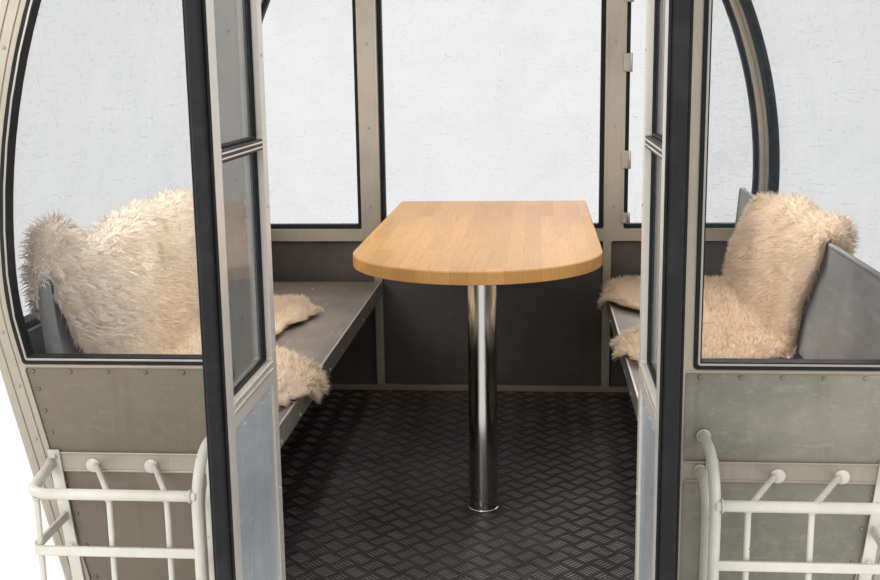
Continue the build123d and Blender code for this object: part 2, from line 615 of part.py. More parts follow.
# Outline of a hinge lug from its pin to the leaf, bent so that it clears the jamb's corner when closed
LUG = ((-7, 0), (7, 0), (7, -14), (-8, -27), (-20, -27), (-20, -17), (-7, -11))
LUG_T = 12.0
LEAF_BAYS = tuple((low[1], top[0]) for low, top in zip(RAILS_Z, RAILS_Z[1:]))
for name, flip in SIDES:
    leaf_plane = SIDE.offset(LEAF_IN if flip > 0 else -LEAF_IN - LEAF_T)
    bay_y, bay_w = (LEAF_EDGE + FREE_STILE + LEAF_ROOT - HINGE_STILE) / 2, LEAF_ROOT - LEAF_EDGE - FREE_STILE - HINGE_STILE
    with BuildPart() as leaf_frame:
        with BuildSketch(leaf_plane):
            with Locations(((LEAF_EDGE + LEAF_ROOT) / 2, (LEAF_LOW_Z + LEAF_TOP_Z) / 2)):
                Rectangle(LEAF_ROOT - LEAF_EDGE, LEAF_TOP_Z - LEAF_LOW_Z)
            for low, top in LEAF_BAYS:
                with Locations((bay_y, (low + top) / 2)):
                    RectangleRounded(bay_w, top - low, 8, mode=Mode.SUBTRACT)
        extrude(amount=LEAF_T)
        for z in EYES_Z:
            for low in (z - EYE_H / 2 - LUG_T - 1, z + EYE_H / 2 + 1):
                with BuildSketch(FLOOR.offset(low)):
                    with Locations((flip * HINGE_X, HINGE_Y)):
                        RegularPolygon(7, 8)
                        Polygon(*[(flip * x, y) for x, y in LUG], align=None)
                extrude(amount=LUG_T)
            with BuildSketch(FLOOR.offset(z - EYE_H / 2 - 5)):
                with Locations((flip * HINGE_X, HINGE_Y)):
                    Circle(HINGE_PIN_R)
            extrude(amount=EYE_H + 10)
    save(leaf_frame.part, f"door_frame_{name}")

    with BuildPart() as leaf_panes:
        with BuildSketch(leaf_plane.offset((LEAF_T - PANE) / 2)):
            for low, top in LEAF_BAYS[1:]:
                with Locations((bay_y, (low + top) / 2)):
                    RectangleRounded(bay_w, top - low, 8)
        extrude(amount=PANE)
    save(leaf_panes.part, f"door_panes_{name}")

    with BuildPart() as leaf_panel:
        with BuildSketch(leaf_plane.offset(5)):
            low, top = LEAF_BAYS[0]
            with Locations((bay_y, (low + top) / 2)):
                RectangleRounded(bay_w, top - low, 8)
        extrude(amount=LEAF_T - 10)
    save(leaf_panel.part, f"door_panel_{name}")

    with BuildPart() as leaf_seal:
        with BuildSketch(leaf_plane.offset((LEAF_T - RUBBER_W) / 2)):
            with Locations(((LEAF_FREE + LEAF_EDGE) / 2, (LEAF_LOW_Z + LEAF_TOP_Z) / 2)):
                Rectangle(RUBBER, LEAF_TOP_Z - LEAF_LOW_Z)
        extrude(amount=RUBBER_W)
        nose_edges = leaf_seal.edges().filter_by(Axis.Z).group_by(Axis.Y)[0]
        fillet(nose_edges, 7)
    save(leaf_seal.part, f"door_seal_{name}")

# Hanger: an arm that steps out round the grip, on a sprung cross frame over the roof
BEAM_LOW_Z = PAD_TOP_Z + 30
BEAM_W, BEAM_H = 60.0, 50.0
SOCKET_R, SOCKET_TOP_Z = 66.0, 2110.0
with BuildPart() as dampers:
    with BuildSketch(FLOOR.offset(PAD_TOP_Z)):
        with GridLocations(2 * MOUNT_X, 2 * MOUNT_Y, 2, 2):
            Circle(38)
    extrude(amount=BEAM_LOW_Z - PAD_TOP_Z)
save(dampers.part, "dampers")

with BuildPart() as roof_frame:
    with BuildSketch(FLOOR.offset(BEAM_LOW_Z)):
        with Locations((-MOUNT_X, 0), (MOUNT_X, 0)):
            Rectangle(BEAM_W, 2 * MOUNT_Y + 100)
        with Locations((0, -70), (0, 70)):
            Rectangle(2 * MOUNT_X, BEAM_W)
    extrude(amount=BEAM_H)
    with BuildSketch(FLOOR.offset(BEAM_LOW_Z)):
        Circle(SOCKET_R)
    extrude(amount=SOCKET_TOP_Z - BEAM_LOW_Z)
    with BuildSketch(FLOOR.offset(BEAM_LOW_Z + 10)):
        Circle(HANGER_R)
    extrude(amount=SOCKET_TOP_Z, mode=Mode.SUBTRACT)
save(roof_frame.part, "roof_frame")

HUB_R, HUB_Y0, HUB_Y1 = 50.0, -216.0, -148.0
with BuildPart() as hanger:
    with BuildLine() as arm_path:
        FilletPolyline((0, HANGER_Y, PIN_Z - 40), (0, HANGER_Y, -900), (0, 0, -1320),
                       (0, 0, BEAM_LOW_Z + 10 - ROPE_TO_FLOOR), radius=320)
    with BuildSketch(Plane(origin=arm_path.line @ 0, z_dir=arm_path.line % 0)):
        Circle(HANGER_R)
    sweep(path=arm_path.line)
    with BuildSketch(GRIP_FRONT.offset(-HUB_Y1)):
        with Locations((0, PIN_Z)):
            Circle(HUB_R)
    extrude(amount=HUB_Y1 - HUB_Y0)
    with BuildSketch(GRIP_FRONT.offset(-HUB_Y1 - 20)):
        with Locations((0, PIN_Z)):
            Circle(PIN_R + RUN)
    extrude(amount=HUB_Y1 - HUB_Y0 + 40, mode=Mode.SUBTRACT)
save(hanger.part, "hanger")

# Grip: a casting with the fixed jaw, a moving jaw on a cross pin, two spring packs and two running wheels
PIVOT_Y, PIVOT_Z, PIVOT_R, JAW_HUB_R = -62.0, -38.0, 12.0, 24.0
LEVER_X, LEVER_T = 66.0, 18.0
SPRING_Y, SPRING_LOW, SPRING_TOP, SPRING_R = -172.0, 62.0, 150.0, 24.0
BODY_HALF = 112.0
with BuildPart() as grip_body:
    # Fixed jaw over the rope
    with BuildSketch(GRIP_SIDE.offset(-JAW_LENGTH / 2)):
        Polygon((26, 10), (24, 30), (8, 42), (-95, 60), (-95, -8), (-38, -8), (-34, -12), (-12, -12),
                (-12, 10), align=None)
        Circle(ROPE_R, mode=Mode.SUBTRACT)
    extrude(amount=JAW_LENGTH)
    # Back wall that holds the hanger's pin, slotted for the lever's two arms
    with BuildSketch(GRIP_FRONT.offset(95)):
        with Locations((0, -20)):
            RectangleRounded(2 * BODY_HALF, 190, 20)
    extrude(amount=30)
    with BuildSketch(GRIP_FRONT.offset(44)):
        with Locations((-LEVER_X, 10), (LEVER_X, 10)):
            Rectangle(LEVER_T + 14, 130)
    extrude(amount=96, mode=Mode.SUBTRACT)
    # Cheeks at both ends, with the jaw's pin between them, and the top bracket over the springs
    for x in (-BODY_HALF, BODY_HALF - 16):
        with BuildSketch(GRIP_SIDE.offset(x)):
            Polygon((-26, 20), (-26, 60), (-60, 105), (-60, 166), (-205, 166), (-205, 130), (-125, 75),
                    (-125, -60), (-95, -72), (-50, -72), (-34, -40), align=None)
            with Locations((PIVOT_Y, PIVOT_Z)):
                Circle(PIVOT_R, mode=Mode.SUBTRACT)
        extrude(amount=16)
    with BuildSketch(GRIP_FRONT.offset(60)):
        with Locations((0, 158)):
            Rectangle(2 * BODY_HALF, 16)
    extrude(amount=145)
    # Wheel arms with their stub axles
    for flip in (-1, 1):
        with BuildSketch(GRIP_FRONT.offset(68)):
            Polygon((flip * (BODY_HALF - 2), 60), (flip * (BODY_HALF - 2), 150), (flip * (WHEEL_X + 18), 128),
                    (flip * (WHEEL_X + 18), 84), align=None)
        extrude(amount=18)
        with BuildSketch(GRIP_FRONT.offset(16)):
            with Locations((flip * WHEEL_X, WHEEL_Z)):
                Circle(12)
        extrude(amount=60)
    # Hanger pin with its retaining cap
    with BuildSketch(GRIP_FRONT.offset(110)):
        with Locations((0, PIN_Z)):
            Circle(PIN_R)
    extrude(amount=-HUB_Y0 + 6 - 110)
    with BuildSketch(GRIP_FRONT.offset(-HUB_Y0 + 4)):
        with Locations((0, PIN_Z)):
            Circle(PIN_R + 12)
    extrude(amount=12)
save(grip_body.part, "grip_body")

with BuildPart() as jaw_pin:
    with BuildSketch(GRIP_SIDE.offset(-BODY_HALF - 6)):
        with Locations((PIVOT_Y, PIVOT_Z)):
            Circle(PIVOT_R)
    extrude(amount=2 * BODY_HALF + 12)
save(jaw_pin.part, "jaw_pin")

with BuildPart() as grip_jaw:
    hub_half = BODY_HALF - 18
    with BuildSketch(GRIP_SIDE.offset(-hub_half)):
        with Locations((PIVOT_Y, PIVOT_Z)):
            Circle(JAW_HUB_R)
    extrude(amount=2 * hub_half)
    with BuildSketch(GRIP_SIDE.offset(-hub_half + 6)):
        Polygon((-66, -60), (-4, -44), (14, -32), (13, -17), (-20, -17), (-46, -22), align=None)
        Circle(ROPE_R, mode=Mode.SUBTRACT)
    extrude(amount=2 * (hub_half - 6))
    for x in (-LEVER_X - LEVER_T / 2, LEVER_X - LEVER_T / 2):
        with BuildSketch(GRIP_SIDE.offset(x)):
            Polygon((-55, -58), (-50, -20), (-150, 62), (-194, 62), (-194, 36), (-150, 22), (-84, -50), align=None)
        extrude(amount=LEVER_T)
    with BuildSketch(Plane.XY.offset(SPRING_LOW - 12)):
        with Locations((-LEVER_X, SPRING_Y), (LEVER_X, SPRING_Y)):
            Circle(SPRING_R)
    extrude(amount=12)
    with BuildSketch(GRIP_SIDE.offset(-BODY_HALF)):
        with Locations((PIVOT_Y, PIVOT_Z)):
            Circle(PIVOT_R + RUN)
    extrude(amount=2 * BODY_HALF, mode=Mode.SUBTRACT)
save(grip_jaw.part, "grip_jaw")

# Spring packs: discs stacked between two washers
DISC_R = 20.0
with BuildPart() as springs:
    for level, height, radius in ((SPRING_LOW, 8, SPRING_R), (SPRING_LOW + 8, SPRING_TOP - SPRING_LOW - 16, DISC_R),
                                  (SPRING_TOP - 8, 8, SPRING_R)):
        with BuildSketch(Plane.XY.offset(level)):
            with Locations((-LEVER_X, SPRING_Y), (LEVER_X, SPRING_Y)):
                Circle(radius)
        extrude(amount=height)
save(springs.part, "grip_springs")

for name, flip in (("rear", -1), ("front", 1)):
    with BuildPart() as wheel:
        with BuildSketch(GRIP_FRONT.offset(22)):
            with Locations((flip * WHEEL_X, WHEEL_Z)):
                Circle(WHEEL_R)
                Circle(12 + RUN, mode=Mode.SUBTRACT)
        extrude(amount=36)
        # Web between hub and rim, 6 mm back on both faces
        for level, amount in ((22, 6), (58, -6)):
            with BuildSketch(GRIP_FRONT.offset(level)):
                with Locations((flip * WHEEL_X, WHEEL_Z)):
                    Circle(WHEEL_R - 11)
                    Circle(24, mode=Mode.SUBTRACT)
            extrude(amount=amount, mode=Mode.SUBTRACT)
    save(wheel.part, f"grip_wheel_{name}")

# Flat plate on top of the grip that the station's driving tyres press on
with BuildPart() as drive_plate:
    with BuildSketch(Plane.XY.offset(166)):
        with Locations((0, -95)):
            RectangleRounded(460, 120, 14)
    extrude(amount=10)
save(drive_plate.part, "drive_plate")
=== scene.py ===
"""Looks of the eight-seat gondola cabin: finishes for its solids, and the small fittings, fleeces and
tread pattern that they leave out. Metres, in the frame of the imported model; the rope runs along X."""

import json
from math import asin, cos, hypot, pi, radians, sin, sqrt, tan

import bpy
import numpy as np
from mathutils import Matrix, Vector


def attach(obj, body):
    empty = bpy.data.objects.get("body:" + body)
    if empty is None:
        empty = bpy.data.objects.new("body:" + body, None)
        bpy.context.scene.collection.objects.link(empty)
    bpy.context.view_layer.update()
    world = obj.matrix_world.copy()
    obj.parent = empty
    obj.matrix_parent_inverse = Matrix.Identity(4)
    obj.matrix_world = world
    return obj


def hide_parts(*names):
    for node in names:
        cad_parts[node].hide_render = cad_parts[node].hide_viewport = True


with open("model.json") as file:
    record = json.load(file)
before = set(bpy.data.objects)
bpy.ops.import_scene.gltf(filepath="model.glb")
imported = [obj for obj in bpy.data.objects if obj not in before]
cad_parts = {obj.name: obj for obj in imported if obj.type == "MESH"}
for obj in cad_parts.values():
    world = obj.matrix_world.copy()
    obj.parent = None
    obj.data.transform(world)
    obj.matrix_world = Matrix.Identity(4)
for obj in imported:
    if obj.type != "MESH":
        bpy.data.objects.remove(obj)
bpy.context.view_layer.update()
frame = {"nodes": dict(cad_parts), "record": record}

bl_info = {
    "name": "Gondola Cabin Fittings",
    "version": (1, 0, 0),
    "blender": (4, 5, 0),
    "location": "View3D > Sidebar > Gondola",
    "description": "Dresses the gondola cabin: rivets, trims, tread plate, fleeces and finishes",
    "category": "Object",
}

NODES = frame["nodes"]
FLOOR_Z = -3.95
SIDES = (("left", -1), ("right", 1))
SKYWARD, DOWNWARD, DOORWARD, BACKWARD = (0, 0, 1), (0, 0, -1), (0, -1, 0), (0, 1, 0)
# Shortest length that counts, and how deep a fitting's foot is sunk into what it stands on
TINY, SUNK = 1e-9, 0.0006

# The cabin's section, as in the solids: heights count from the floor
WAIST_X, WAIST_Z, UPPER_R, LOWER_R, LEAN = 0.988, 0.770, 1.600, 0.700, radians(12.5)
HALF_DEPTH, INNER, RING, GASKET = 0.930, 0.880, 0.058, 0.015
UPPER_X, LOWER_X = WAIST_X - UPPER_R, WAIST_X - LOWER_R
SHOULDER_A = asin((1.850 - WAIST_Z) / UPPER_R)
SHOULDER = (UPPER_X + (UPPER_R - 0.3) * cos(SHOULDER_A), WAIST_Z + (UPPER_R - 0.3) * sin(SHOULDER_A))
ROOF_R = SHOULDER[0] / cos(radians(84)) + 0.3
ROOF_CENTRE_Z = SHOULDER[1] - (ROOF_R - 0.3) * sin(radians(84))
# Outer faces of the lower panels and of the window rubbers; how deep the end walls' panels lie in the skin
PANEL_Y, RUBBER_Y, END_PANEL = HALF_DEPTH - 0.004, HALF_DEPTH + 0.003, 0.003
# Windows beside the door and beside the middle back window: inner edge, foot and head
FRONT_PANE, BACK_PANE = (0.471, 0.580, 1.665), (0.466, 0.598, 1.665)
# A door leaf at rest: its faces, the bay across it and the feet and heads of its two windows
LEAF_FACES, LEAF_MIDDLE, LEAF_BAY = (0.362, 0.400), 0.381, (-1.281, -0.988)
LEAF_WINDOWS = ((0.606, 1.024), (1.044, 1.762))
TABLE_LEG = (0.019, -0.231)
DAMPER_X, DAMPER_Y, PAD_Z, BEAM_Z = 0.30, 0.48, FLOOR_Z + 1.968, FLOOR_Z + 1.998
AXLE_X, AXLE_Z, EYE_Z = 0.172, 0.105, -0.075

# The camera: picture width and focal length in pixels, place over the floor, and yaw, pitch and roll
PICTURE_WIDTH, FOCAL_LENGTH, SENSOR_WIDTH = 880.0, 1142.15, 36.0
CAMERA_PLACE, CAMERA_TURN = (0.1612, -3.1518, FLOOR_Z + 1.1828), (4.9292, 11.2637, 0.8213)
# Each lamp: place, aim, width and watts
LAMPS = {
    "Door Side Lamp": ((-2.6, -6.0, -0.4), (0.0, 0.0, -3.1), 3.2, 230.0),
    "Right Lamp": ((4.2, -4.6, -1.2), (0.0, 0.0, -3.2), 2.6, 70.0),
    "Back Lamp": ((1.5, 6.0, 0.8), (0.0, 0.0, -2.8), 3.5, 260.0),
    "Roof Lamp": ((0.0, 1.0, 7.0), (0.0, 0.0, -1.6), 5.0, 420.0),
    "Left Lamp": ((-5.2, 0.6, -1.6), (-0.9, 0.0, -3.1), 2.0, 60.0),
    "Cabin Lamp": ((0.0, -0.15, FLOOR_Z + 1.84), (0.0, -0.14, FLOOR_Z), 1.1, 11.0),
    "Left Bench Lamp": ((-0.40, -0.20, FLOOR_Z + 1.30), (-0.80, -0.24, FLOOR_Z + 0.66), 0.9, 3.6),
    "Right Bench Lamp": ((0.40, -0.05, FLOOR_Z + 1.30), (0.80, -0.05, FLOOR_Z + 0.66), 0.9, 2.8),
}
FLOOR_REACH, FLOOR_DROP = 30, 0.40


def colour_setting(name, text, red, green, blue):
    """A colour that the user can change."""
    return bpy.props.FloatVectorProperty(name=name, description=text, default=(red, green, blue), size=3,
                                         min=0.0, max=1.0, subtype="COLOR")


def length_setting(name, text, metres):
    """A length that the user can change."""
    return bpy.props.FloatProperty(name=name, description=text, default=metres, min=0.0, unit="LENGTH")


class GondolaSizes(bpy.types.PropertyGroup):
    """Sizes of the fittings that the solids leave out."""
    rivet: length_setting("Rivet", "Radius of a rivet's round head", 0.0046)
    rivet_pitch: length_setting("Rivet Pitch", "Distance between rivets in a row", 0.083)
    trim: length_setting("Trim", "Width of the bright strip in a window rubber", 0.0044)
    tread_bar: length_setting("Tread Bar", "Length of a raised bar on the tread plate", 0.042)
    tread_pitch: length_setting("Tread Pitch", "Distance between groups that lean alike", 0.0735)
    bead: length_setting("Weld Bead", "Radius of a weld bead round a joint", 0.0042)
    pile: length_setting("Pile", "Length of a fleece's longest wool", 0.036)
    locks: bpy.props.IntProperty(name="Locks", description="Tufts of wool on each fleece", default=33000,
                                 min=1000, max=39000)


class GondolaColours(bpy.types.PropertyGroup):
    """Base colours of the finishes."""
    profile: colour_setting("Profiles", "Warm grey of the worn aluminium profiles", 0.40, 0.355, 0.285)
    wall_panel: colour_setting("Wall Panels", "Olive grey of the weathered outer panels", 0.235, 0.222, 0.180)
    # Brown film of dirt, with painted warm light and shade, on the panels left of the door
    panel_dirt_and_warm_light: colour_setting("Panel Dirt", "Brown film on the panels left of the door", 0.170, 0.125, 0.085)
    # Dark paint under the back windows; its darkness is partly painted shade
    back_panel: colour_setting("Back Panels", "Dark paint under the back windows", 0.075, 0.064, 0.056)
    leaf_panel: colour_setting("Leaf Panels", "Pale blue grey of the door leaves' panels", 0.50, 0.53, 0.555)
    pane: colour_setting("Panes", "Smoke blue of the windows", 0.030, 0.048, 0.066)
    rubber: colour_setting("Rubber", "Black of the window rubbers and door seals", 0.009, 0.009, 0.010)
    roof: colour_setting("Roof", "Greyed white paint of the roof and end panels", 0.52, 0.50, 0.455)
    tread: colour_setting("Tread Plate", "Dark ground of the tread plate", 0.060, 0.055, 0.055)
    zinc: colour_setting("Zinc", "Galvanised steel of hanger and skids", 0.42, 0.43, 0.44)
    cast: colour_setting("Castings", "Dark grey of the grip's castings", 0.20, 0.21, 0.22)
    seat: colour_setting("Seats", "Grey brown of the seat boards", 0.150, 0.118, 0.094)
    backrest: colour_setting("Backrests", "Painted grey of the backrest plates", 0.190, 0.186, 0.178)
    edge: colour_setting("Edge Strips", "Worn metal along the seats' fronts", 0.42, 0.39, 0.35)
    fleece: colour_setting("Fleece", "Cream of the wool on the backrests", 0.93, 0.84, 0.71)
    fleece_root: colour_setting("Fleece Below", "Peach of the wool near the hide", 0.92, 0.70, 0.46)
    beech: colour_setting("Beech", "Light wood of the table's staves", 0.60, 0.31, 0.105)
    rack: colour_setting("Racks", "Cream paint of the ski racks", 0.64, 0.61, 0.53)


class Nodes:
    """A node tree. add() makes any node, and the values it gives take plain arithmetic."""

    def __init__(self, tree):
        self.tree = tree

    def feed(self, socket, value):
        """Link a value to a socket, or write a constant on it."""
        if isinstance(value, Value):
            self.tree.links.new(value.socket, socket)
        else:
            socket.default_value = value

    def add(self, kind, settings=None, output=0, **inputs):
        """Add a node; settings come first, then its sockets by name or as s0, s1 and so on by number."""
        node = self.tree.nodes.new(kind)
        for key, value in (settings or {}).items():
            setattr(node, key, value)
        for key, value in inputs.items():
            self.feed(node.inputs[int(key[1:]) if key[1:].isdigit() else key.replace("_", " ")], value)
        return Value(self, node.outputs[output])

    def vector_maths(self, operation, *vectors, output=0, **inputs):
        """A Vector Math node on these vectors."""
        inputs.update({f"s{n}": vector for n, vector in enumerate(vectors)})
        return self.add("ShaderNodeVectorMath", {"operation": operation}, output, **inputs)

    def surface(self, output, factor, first, second):
        """Send a mix of two shaders to the tree's output."""
        mixed = self.add("ShaderNodeMixShader", s0=factor, s1=first, s2=second)
        self.feed(self.tree.nodes[output].inputs["Surface"], mixed)

    def seen(self):
        """1 for a ray from the camera, off a mirror or through a window, and 0 for any other."""
        camera, glossy, through = (self.add("ShaderNodeLightPath", output=f"Is {ray} Ray")
                                   for ray in ("Camera", "Glossy", "Transmission"))
        return (camera + glossy + through).clip()


class Finish(Nodes):
    """A procedural material of one slot."""

    def __init__(self, slot, colour, roughness=0.5, metallic=0.0, **plain):
        self.material = bpy.data.materials.new(f"{slot}_finish")
        self.material.use_nodes = True
        self.material.diffuse_color = (*colour, 1.0)
        super().__init__(self.material.node_tree)
        self.shader = self.tree.nodes["Principled BSDF"]
        self.colour = tuple(colour)
        self.set(Base_Color=(*colour, 1.0), Roughness=roughness, Metallic=metallic, **plain)
        self.point = self.add("ShaderNodeTexCoord", output="Object")

    def set(self, **inputs):
        """Set or link the shader's own sockets."""
        for key, value in inputs.items():
            self.feed(self.shader.inputs[key.replace("_", " ")], value)

    def dress(self, base, roughness, normal, **more):
        """Link what changes over the surface."""
        self.set(Base_Color=base, Roughness=roughness.clip(), Normal=normal, **more)

    def over(self, factor, second):
        """Mix another shader over the finish's own."""
        self.surface("Material Output", factor, Value(self, self.shader.outputs[0]), second)

    def stretched(self, x=1.0, y=1.0, z=1.0):
        """The point on the piece, scaled along each axis."""
        return self.add("ShaderNodeMapping", Vector=self.point, Scale=(x, y, z))

    def noise(self, scale, detail=4.0, rough=0.55, point=None, warp=0.0):
        """Cloudy value from 0 to 1; scale is how many clouds a metre holds."""
        return self.add("ShaderNodeTexNoise", Vector=point or self.point, Scale=scale, Detail=detail,
                        Roughness=rough, Distortion=warp)

    def cells(self, scale, point=None, output="Distance"):
        """Distance or colour of the nearest of many scattered points."""
        return self.add("ShaderNodeTexVoronoi", output=output, Vector=point or self.point, Scale=scale)

    def axis(self, letter):
        """One coordinate of the point."""
        return self.add("ShaderNodeSeparateXYZ", output="XYZ".index(letter), Vector=self.point)

    def shade(self, colour):
        """A link or a colour as it is, or the finish's own colour times a number."""
        if isinstance(colour, Value):
            return colour
        if isinstance(colour, float):
            colour = [min(1.0, c * colour) for c in self.colour]
        return (*colour, 1.0)

    def blend(self, factor, first, second):
        """Mix two colours."""
        return self.add("ShaderNodeMix", {"data_type": "RGBA"}, 2, s0=factor, s6=self.shade(first),
                        s7=self.shade(second))

    def coats(self, cloud, dark, light, *coats):
        """Ground in two shades, and over it each coat's colour where its mask lies."""
        base = self.blend(cloud, dark, light)
        for mask, colour in coats:
            base = self.blend(mask, base, colour)
        return base

    def bump(self, height, strength, depth, over=None):
        """Normal that a height field gives, on top of another normal where one is handed over."""
        extra = {"Normal": over} if over else {}
        return self.add("ShaderNodeBump", Height=height, Strength=strength, Distance=depth, **extra)

    def soft_edges(self, radius):
        """Normal that rounds the piece's edges, and how near a point is to one, from 0 to 1."""
        rounded_off = self.add("ShaderNodeBevel", {"samples": 4}, Radius=radius)
        flat = self.add("ShaderNodeNewGeometry", output="Normal")
        alike = self.vector_maths("DOT_PRODUCT", rounded_off, flat, output="Value")
        return rounded_off, ((1.0 - alike) * 5.0).clip()

    def corners(self, reach):
        """How far a point lies in a corner, from 0 to 1, by ambient occlusion: for the dirt that gathers
        there and for painted shade.
        """
        return (1.0 - self.add("ShaderNodeAmbientOcclusion", {"samples": 4}, "AO", Distance=reach)).clip()


def arithmetic(operation, reflected=False):
    """Method that adds a Math node for one of Python's operators."""
    def method(self, other):
        return self.maths(operation, *((other, self) if reflected else (self, other)))
    return method


class Value:
    """A node's output. Arithmetic on it adds Math nodes, whichever side it stands on."""
    __add__, __radd__ = arithmetic("ADD"), arithmetic("ADD", True)
    __sub__, __rsub__ = arithmetic("SUBTRACT"), arithmetic("SUBTRACT", True)
    __mul__, __rmul__ = arithmetic("MULTIPLY"), arithmetic("MULTIPLY", True)
    __gt__, __lt__ = arithmetic("GREATER_THAN"), arithmetic("LESS_THAN")

    def __init__(self, nodes, socket):
        self.nodes, self.socket = nodes, socket

    def maths(self, operation, *values, clamp=False):
        """A Math node on these values."""
        return self.nodes.add("ShaderNodeMath", {"operation": operation, "use_clamp": clamp},
                              **{f"s{n}": v for n, v in enumerate(values)})

    def clip(self):
        """Kept between 0 and 1."""
        return self.maths("ADD", self, 0.0, clamp=True)

    def wave(self):
        """Sine of the value, once every unit."""
        return self.maths("SINE", self * (2 * pi))

    def between(self, low, high):
        """0 below the low end, 1 above the high end and a ramp between them."""
        return ((self - low) * (1.0 / (high - low))).clip()


def turns(count):
    """Even angles once round."""
    return [2 * pi * n / count for n in range(count)]


def circle(centre, axis, radius, count):
    """Points round a centre, square to an axis."""
    axis = Vector(axis).normalized()
    side = axis.orthogonal().normalized()
    other = axis.cross(side)
    return [Vector(centre) + (side * cos(a) + other * sin(a)) * radius for a in turns(count)]


class Shape:
    """Mesh of one piece: solids are added one by one, and place() makes the object and its body's ride."""

    def __init__(self):
        self.points, self.faces, self.smooth = [], [], []

    def add(self, points, faces, smooth=False):
        """Add a solid from its points and faces."""
        first = len(self.points)
        self.points += [tuple(p) for p in points]
        self.faces += [[first + n for n in face] for face in faces]
        self.smooth += [smooth] * len(faces)

    def rings(self, rows, smooth=False, closed=False):
        """Solid through rings of points, with a cap at both ends unless the last ring meets the first."""
        count, total = len(rows[0]), len(rows)
        faces = []
        for row in range(total if closed else total - 1):
            here, there = row * count, (row + 1) % total * count
            sides = zip(range(count), [*range(1, count), 0])
            faces += [(here + k, here + n, there + n, there + k) for k, n in sides]
        if not closed:
            faces += [tuple(reversed(range(count))), tuple((total - 1) * count + k for k in range(count))]
        self.add([point for row in rows for point in row], faces, smooth)

    def turn(self, base, axis, profile, count=10, smooth=True):
        """Turned solid: profile lists radius and height along the axis, from the base to the tip."""
        along = Vector(axis).normalized()
        self.rings([circle(Vector(base) + along * h, along, r, count) for r, h in profile], smooth)

    def rivet(self, base, axis, radius):
        """Low round rivet head."""
        self.turn(base, axis, ((radius, -SUNK), (radius, radius * 0.16), (radius * 0.74, radius * 0.5),
                               (radius * 0.3, radius * 0.66)), 9)

    def bolt(self, base, axis, radius, washer=True, tail=0.0):
        """Hexagon head on a washer, with the bolt's end standing out by the tail."""
        r = radius
        if washer:
            self.turn(base, axis, ((r * 1.5, -SUNK), (r * 1.5, r * 0.16), (r * 1.42, r * 0.24)), 16)
        low = r * 0.24 if washer else -SUNK
        self.turn(base, axis, ((r, low), (r, r * 0.82), (r * 0.84, r * 0.96)), 6, False)
        if tail:
            thread = r * 0.52
            self.turn(base, axis, ((thread, r * 0.9), (thread, r * 0.96 + tail), (r * 0.42, r * 1.05 + tail)))

    def screw(self, base, axis, radius):
        """Flat pan head with a round recess."""
        self.turn(base, axis, ((radius, -SUNK), (radius, radius * 0.22), (radius * 0.8, radius * 0.38),
                               (radius * 0.34, radius * 0.4), (radius * 0.24, radius * 0.16)), 12)

    def sweep(self, path, section, ups, closed=False, smooth=False):
        """Section of (side, up) pairs carried along a path; up is one direction or one for each point."""
        path = [Vector(p) for p in path]
        ups = [Vector(ups)] * len(path) if isinstance(ups[0], (int, float)) else [Vector(u) for u in ups]
        rows = []
        for n, here in enumerate(path):
            ahead = path[(n + 1) % len(path)] - here if n < len(path) - 1 or closed else Vector()
            behind = here - path[n - 1] if n or closed else Vector()
            ahead = (ahead if ahead.length > TINY else behind).normalized()
            behind = (behind if behind.length > TINY else ahead).normalized()
            along = (ahead + behind).normalized()
            rise = (ups[n] - along * ups[n].dot(along)).normalized()
            # The section widens at a corner, up to a sharp one
            side = along.cross(rise) / max(0.35, along.dot(ahead))
            rows.append([here + side * s + rise * u for s, u in section])
        self.rings(rows, smooth, closed)

    def tube(self, path, radius, ups=SKYWARD, closed=False, sides=8):
        """Round bar or bead along a path."""
        self.sweep(path, [(radius * cos(a), radius * sin(a)) for a in turns(sides)], ups, closed, True)

    def ring(self, centre, axis, radius, bead, count):
        """Round bead in a circle about a centre."""
        self.tube(circle(centre, axis, radius, count), bead, axis, True, 6)

    def strip(self, path, width, height, ups, closed=False):
        """Flat strip with bevelled shoulders along a path, its up side away from what it lies on."""
        w, c = width / 2, min(width, height) * 0.28
        self.sweep(path, ((-w, -SUNK), (w, -SUNK), (w, height - c), (w - c, height), (c - w, height),
                          (-w, height - c)), ups, closed)

    def block(self, low, high, edge=0.0015):
        """Bar along the axes with its top and bottom edges bevelled."""
        (x0, y0, z0), (x1, y1, z1) = low, high
        self.rings([[(x0 + e, y0 + e, z), (x1 - e, y0 + e, z), (x1 - e, y1 - e, z), (x0 + e, y1 - e, z)]
                    for e, z in ((edge, z0), (0.0, z0 + edge), (0.0, z1 - edge), (edge, z1))])

    def plate(self, outline, place, edge, thickness):
        """Flat plate from a closed outline; place turns outline points and heights into space."""
        count = len(outline)
        centre = Vector((sum(p[0] for p in outline) / count, sum(p[1] for p in outline) / count))
        inner = []
        for p in outline:
            away = Vector(p) - centre
            inner.append(centre + away * max(0.0, 1 - edge / away.length))
        levels = ((outline, -0.0005), (outline, thickness - edge), (inner, thickness))
        self.rings([[place(x, y, h) for x, y in ring] for ring, h in levels])

    def place(self, name, body, slot, material):
        """Make the object, let it ride on a body and take its finish from a slot."""
        mesh = bpy.data.meshes.new(name)
        mesh.from_pydata(self.points, [], self.faces)
        mesh.polygons.foreach_set("use_smooth", self.smooth)
        mesh.materials.append(material)
        mesh.validate()
        mesh.update()
        piece = bpy.data.objects.new(name, mesh)
        bpy.context.scene.collection.objects.link(piece)
        if body:
            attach(piece, body)
        return piece


def up(height):
    """Height in the frame of a height over the floor."""
    return FLOOR_Z + height


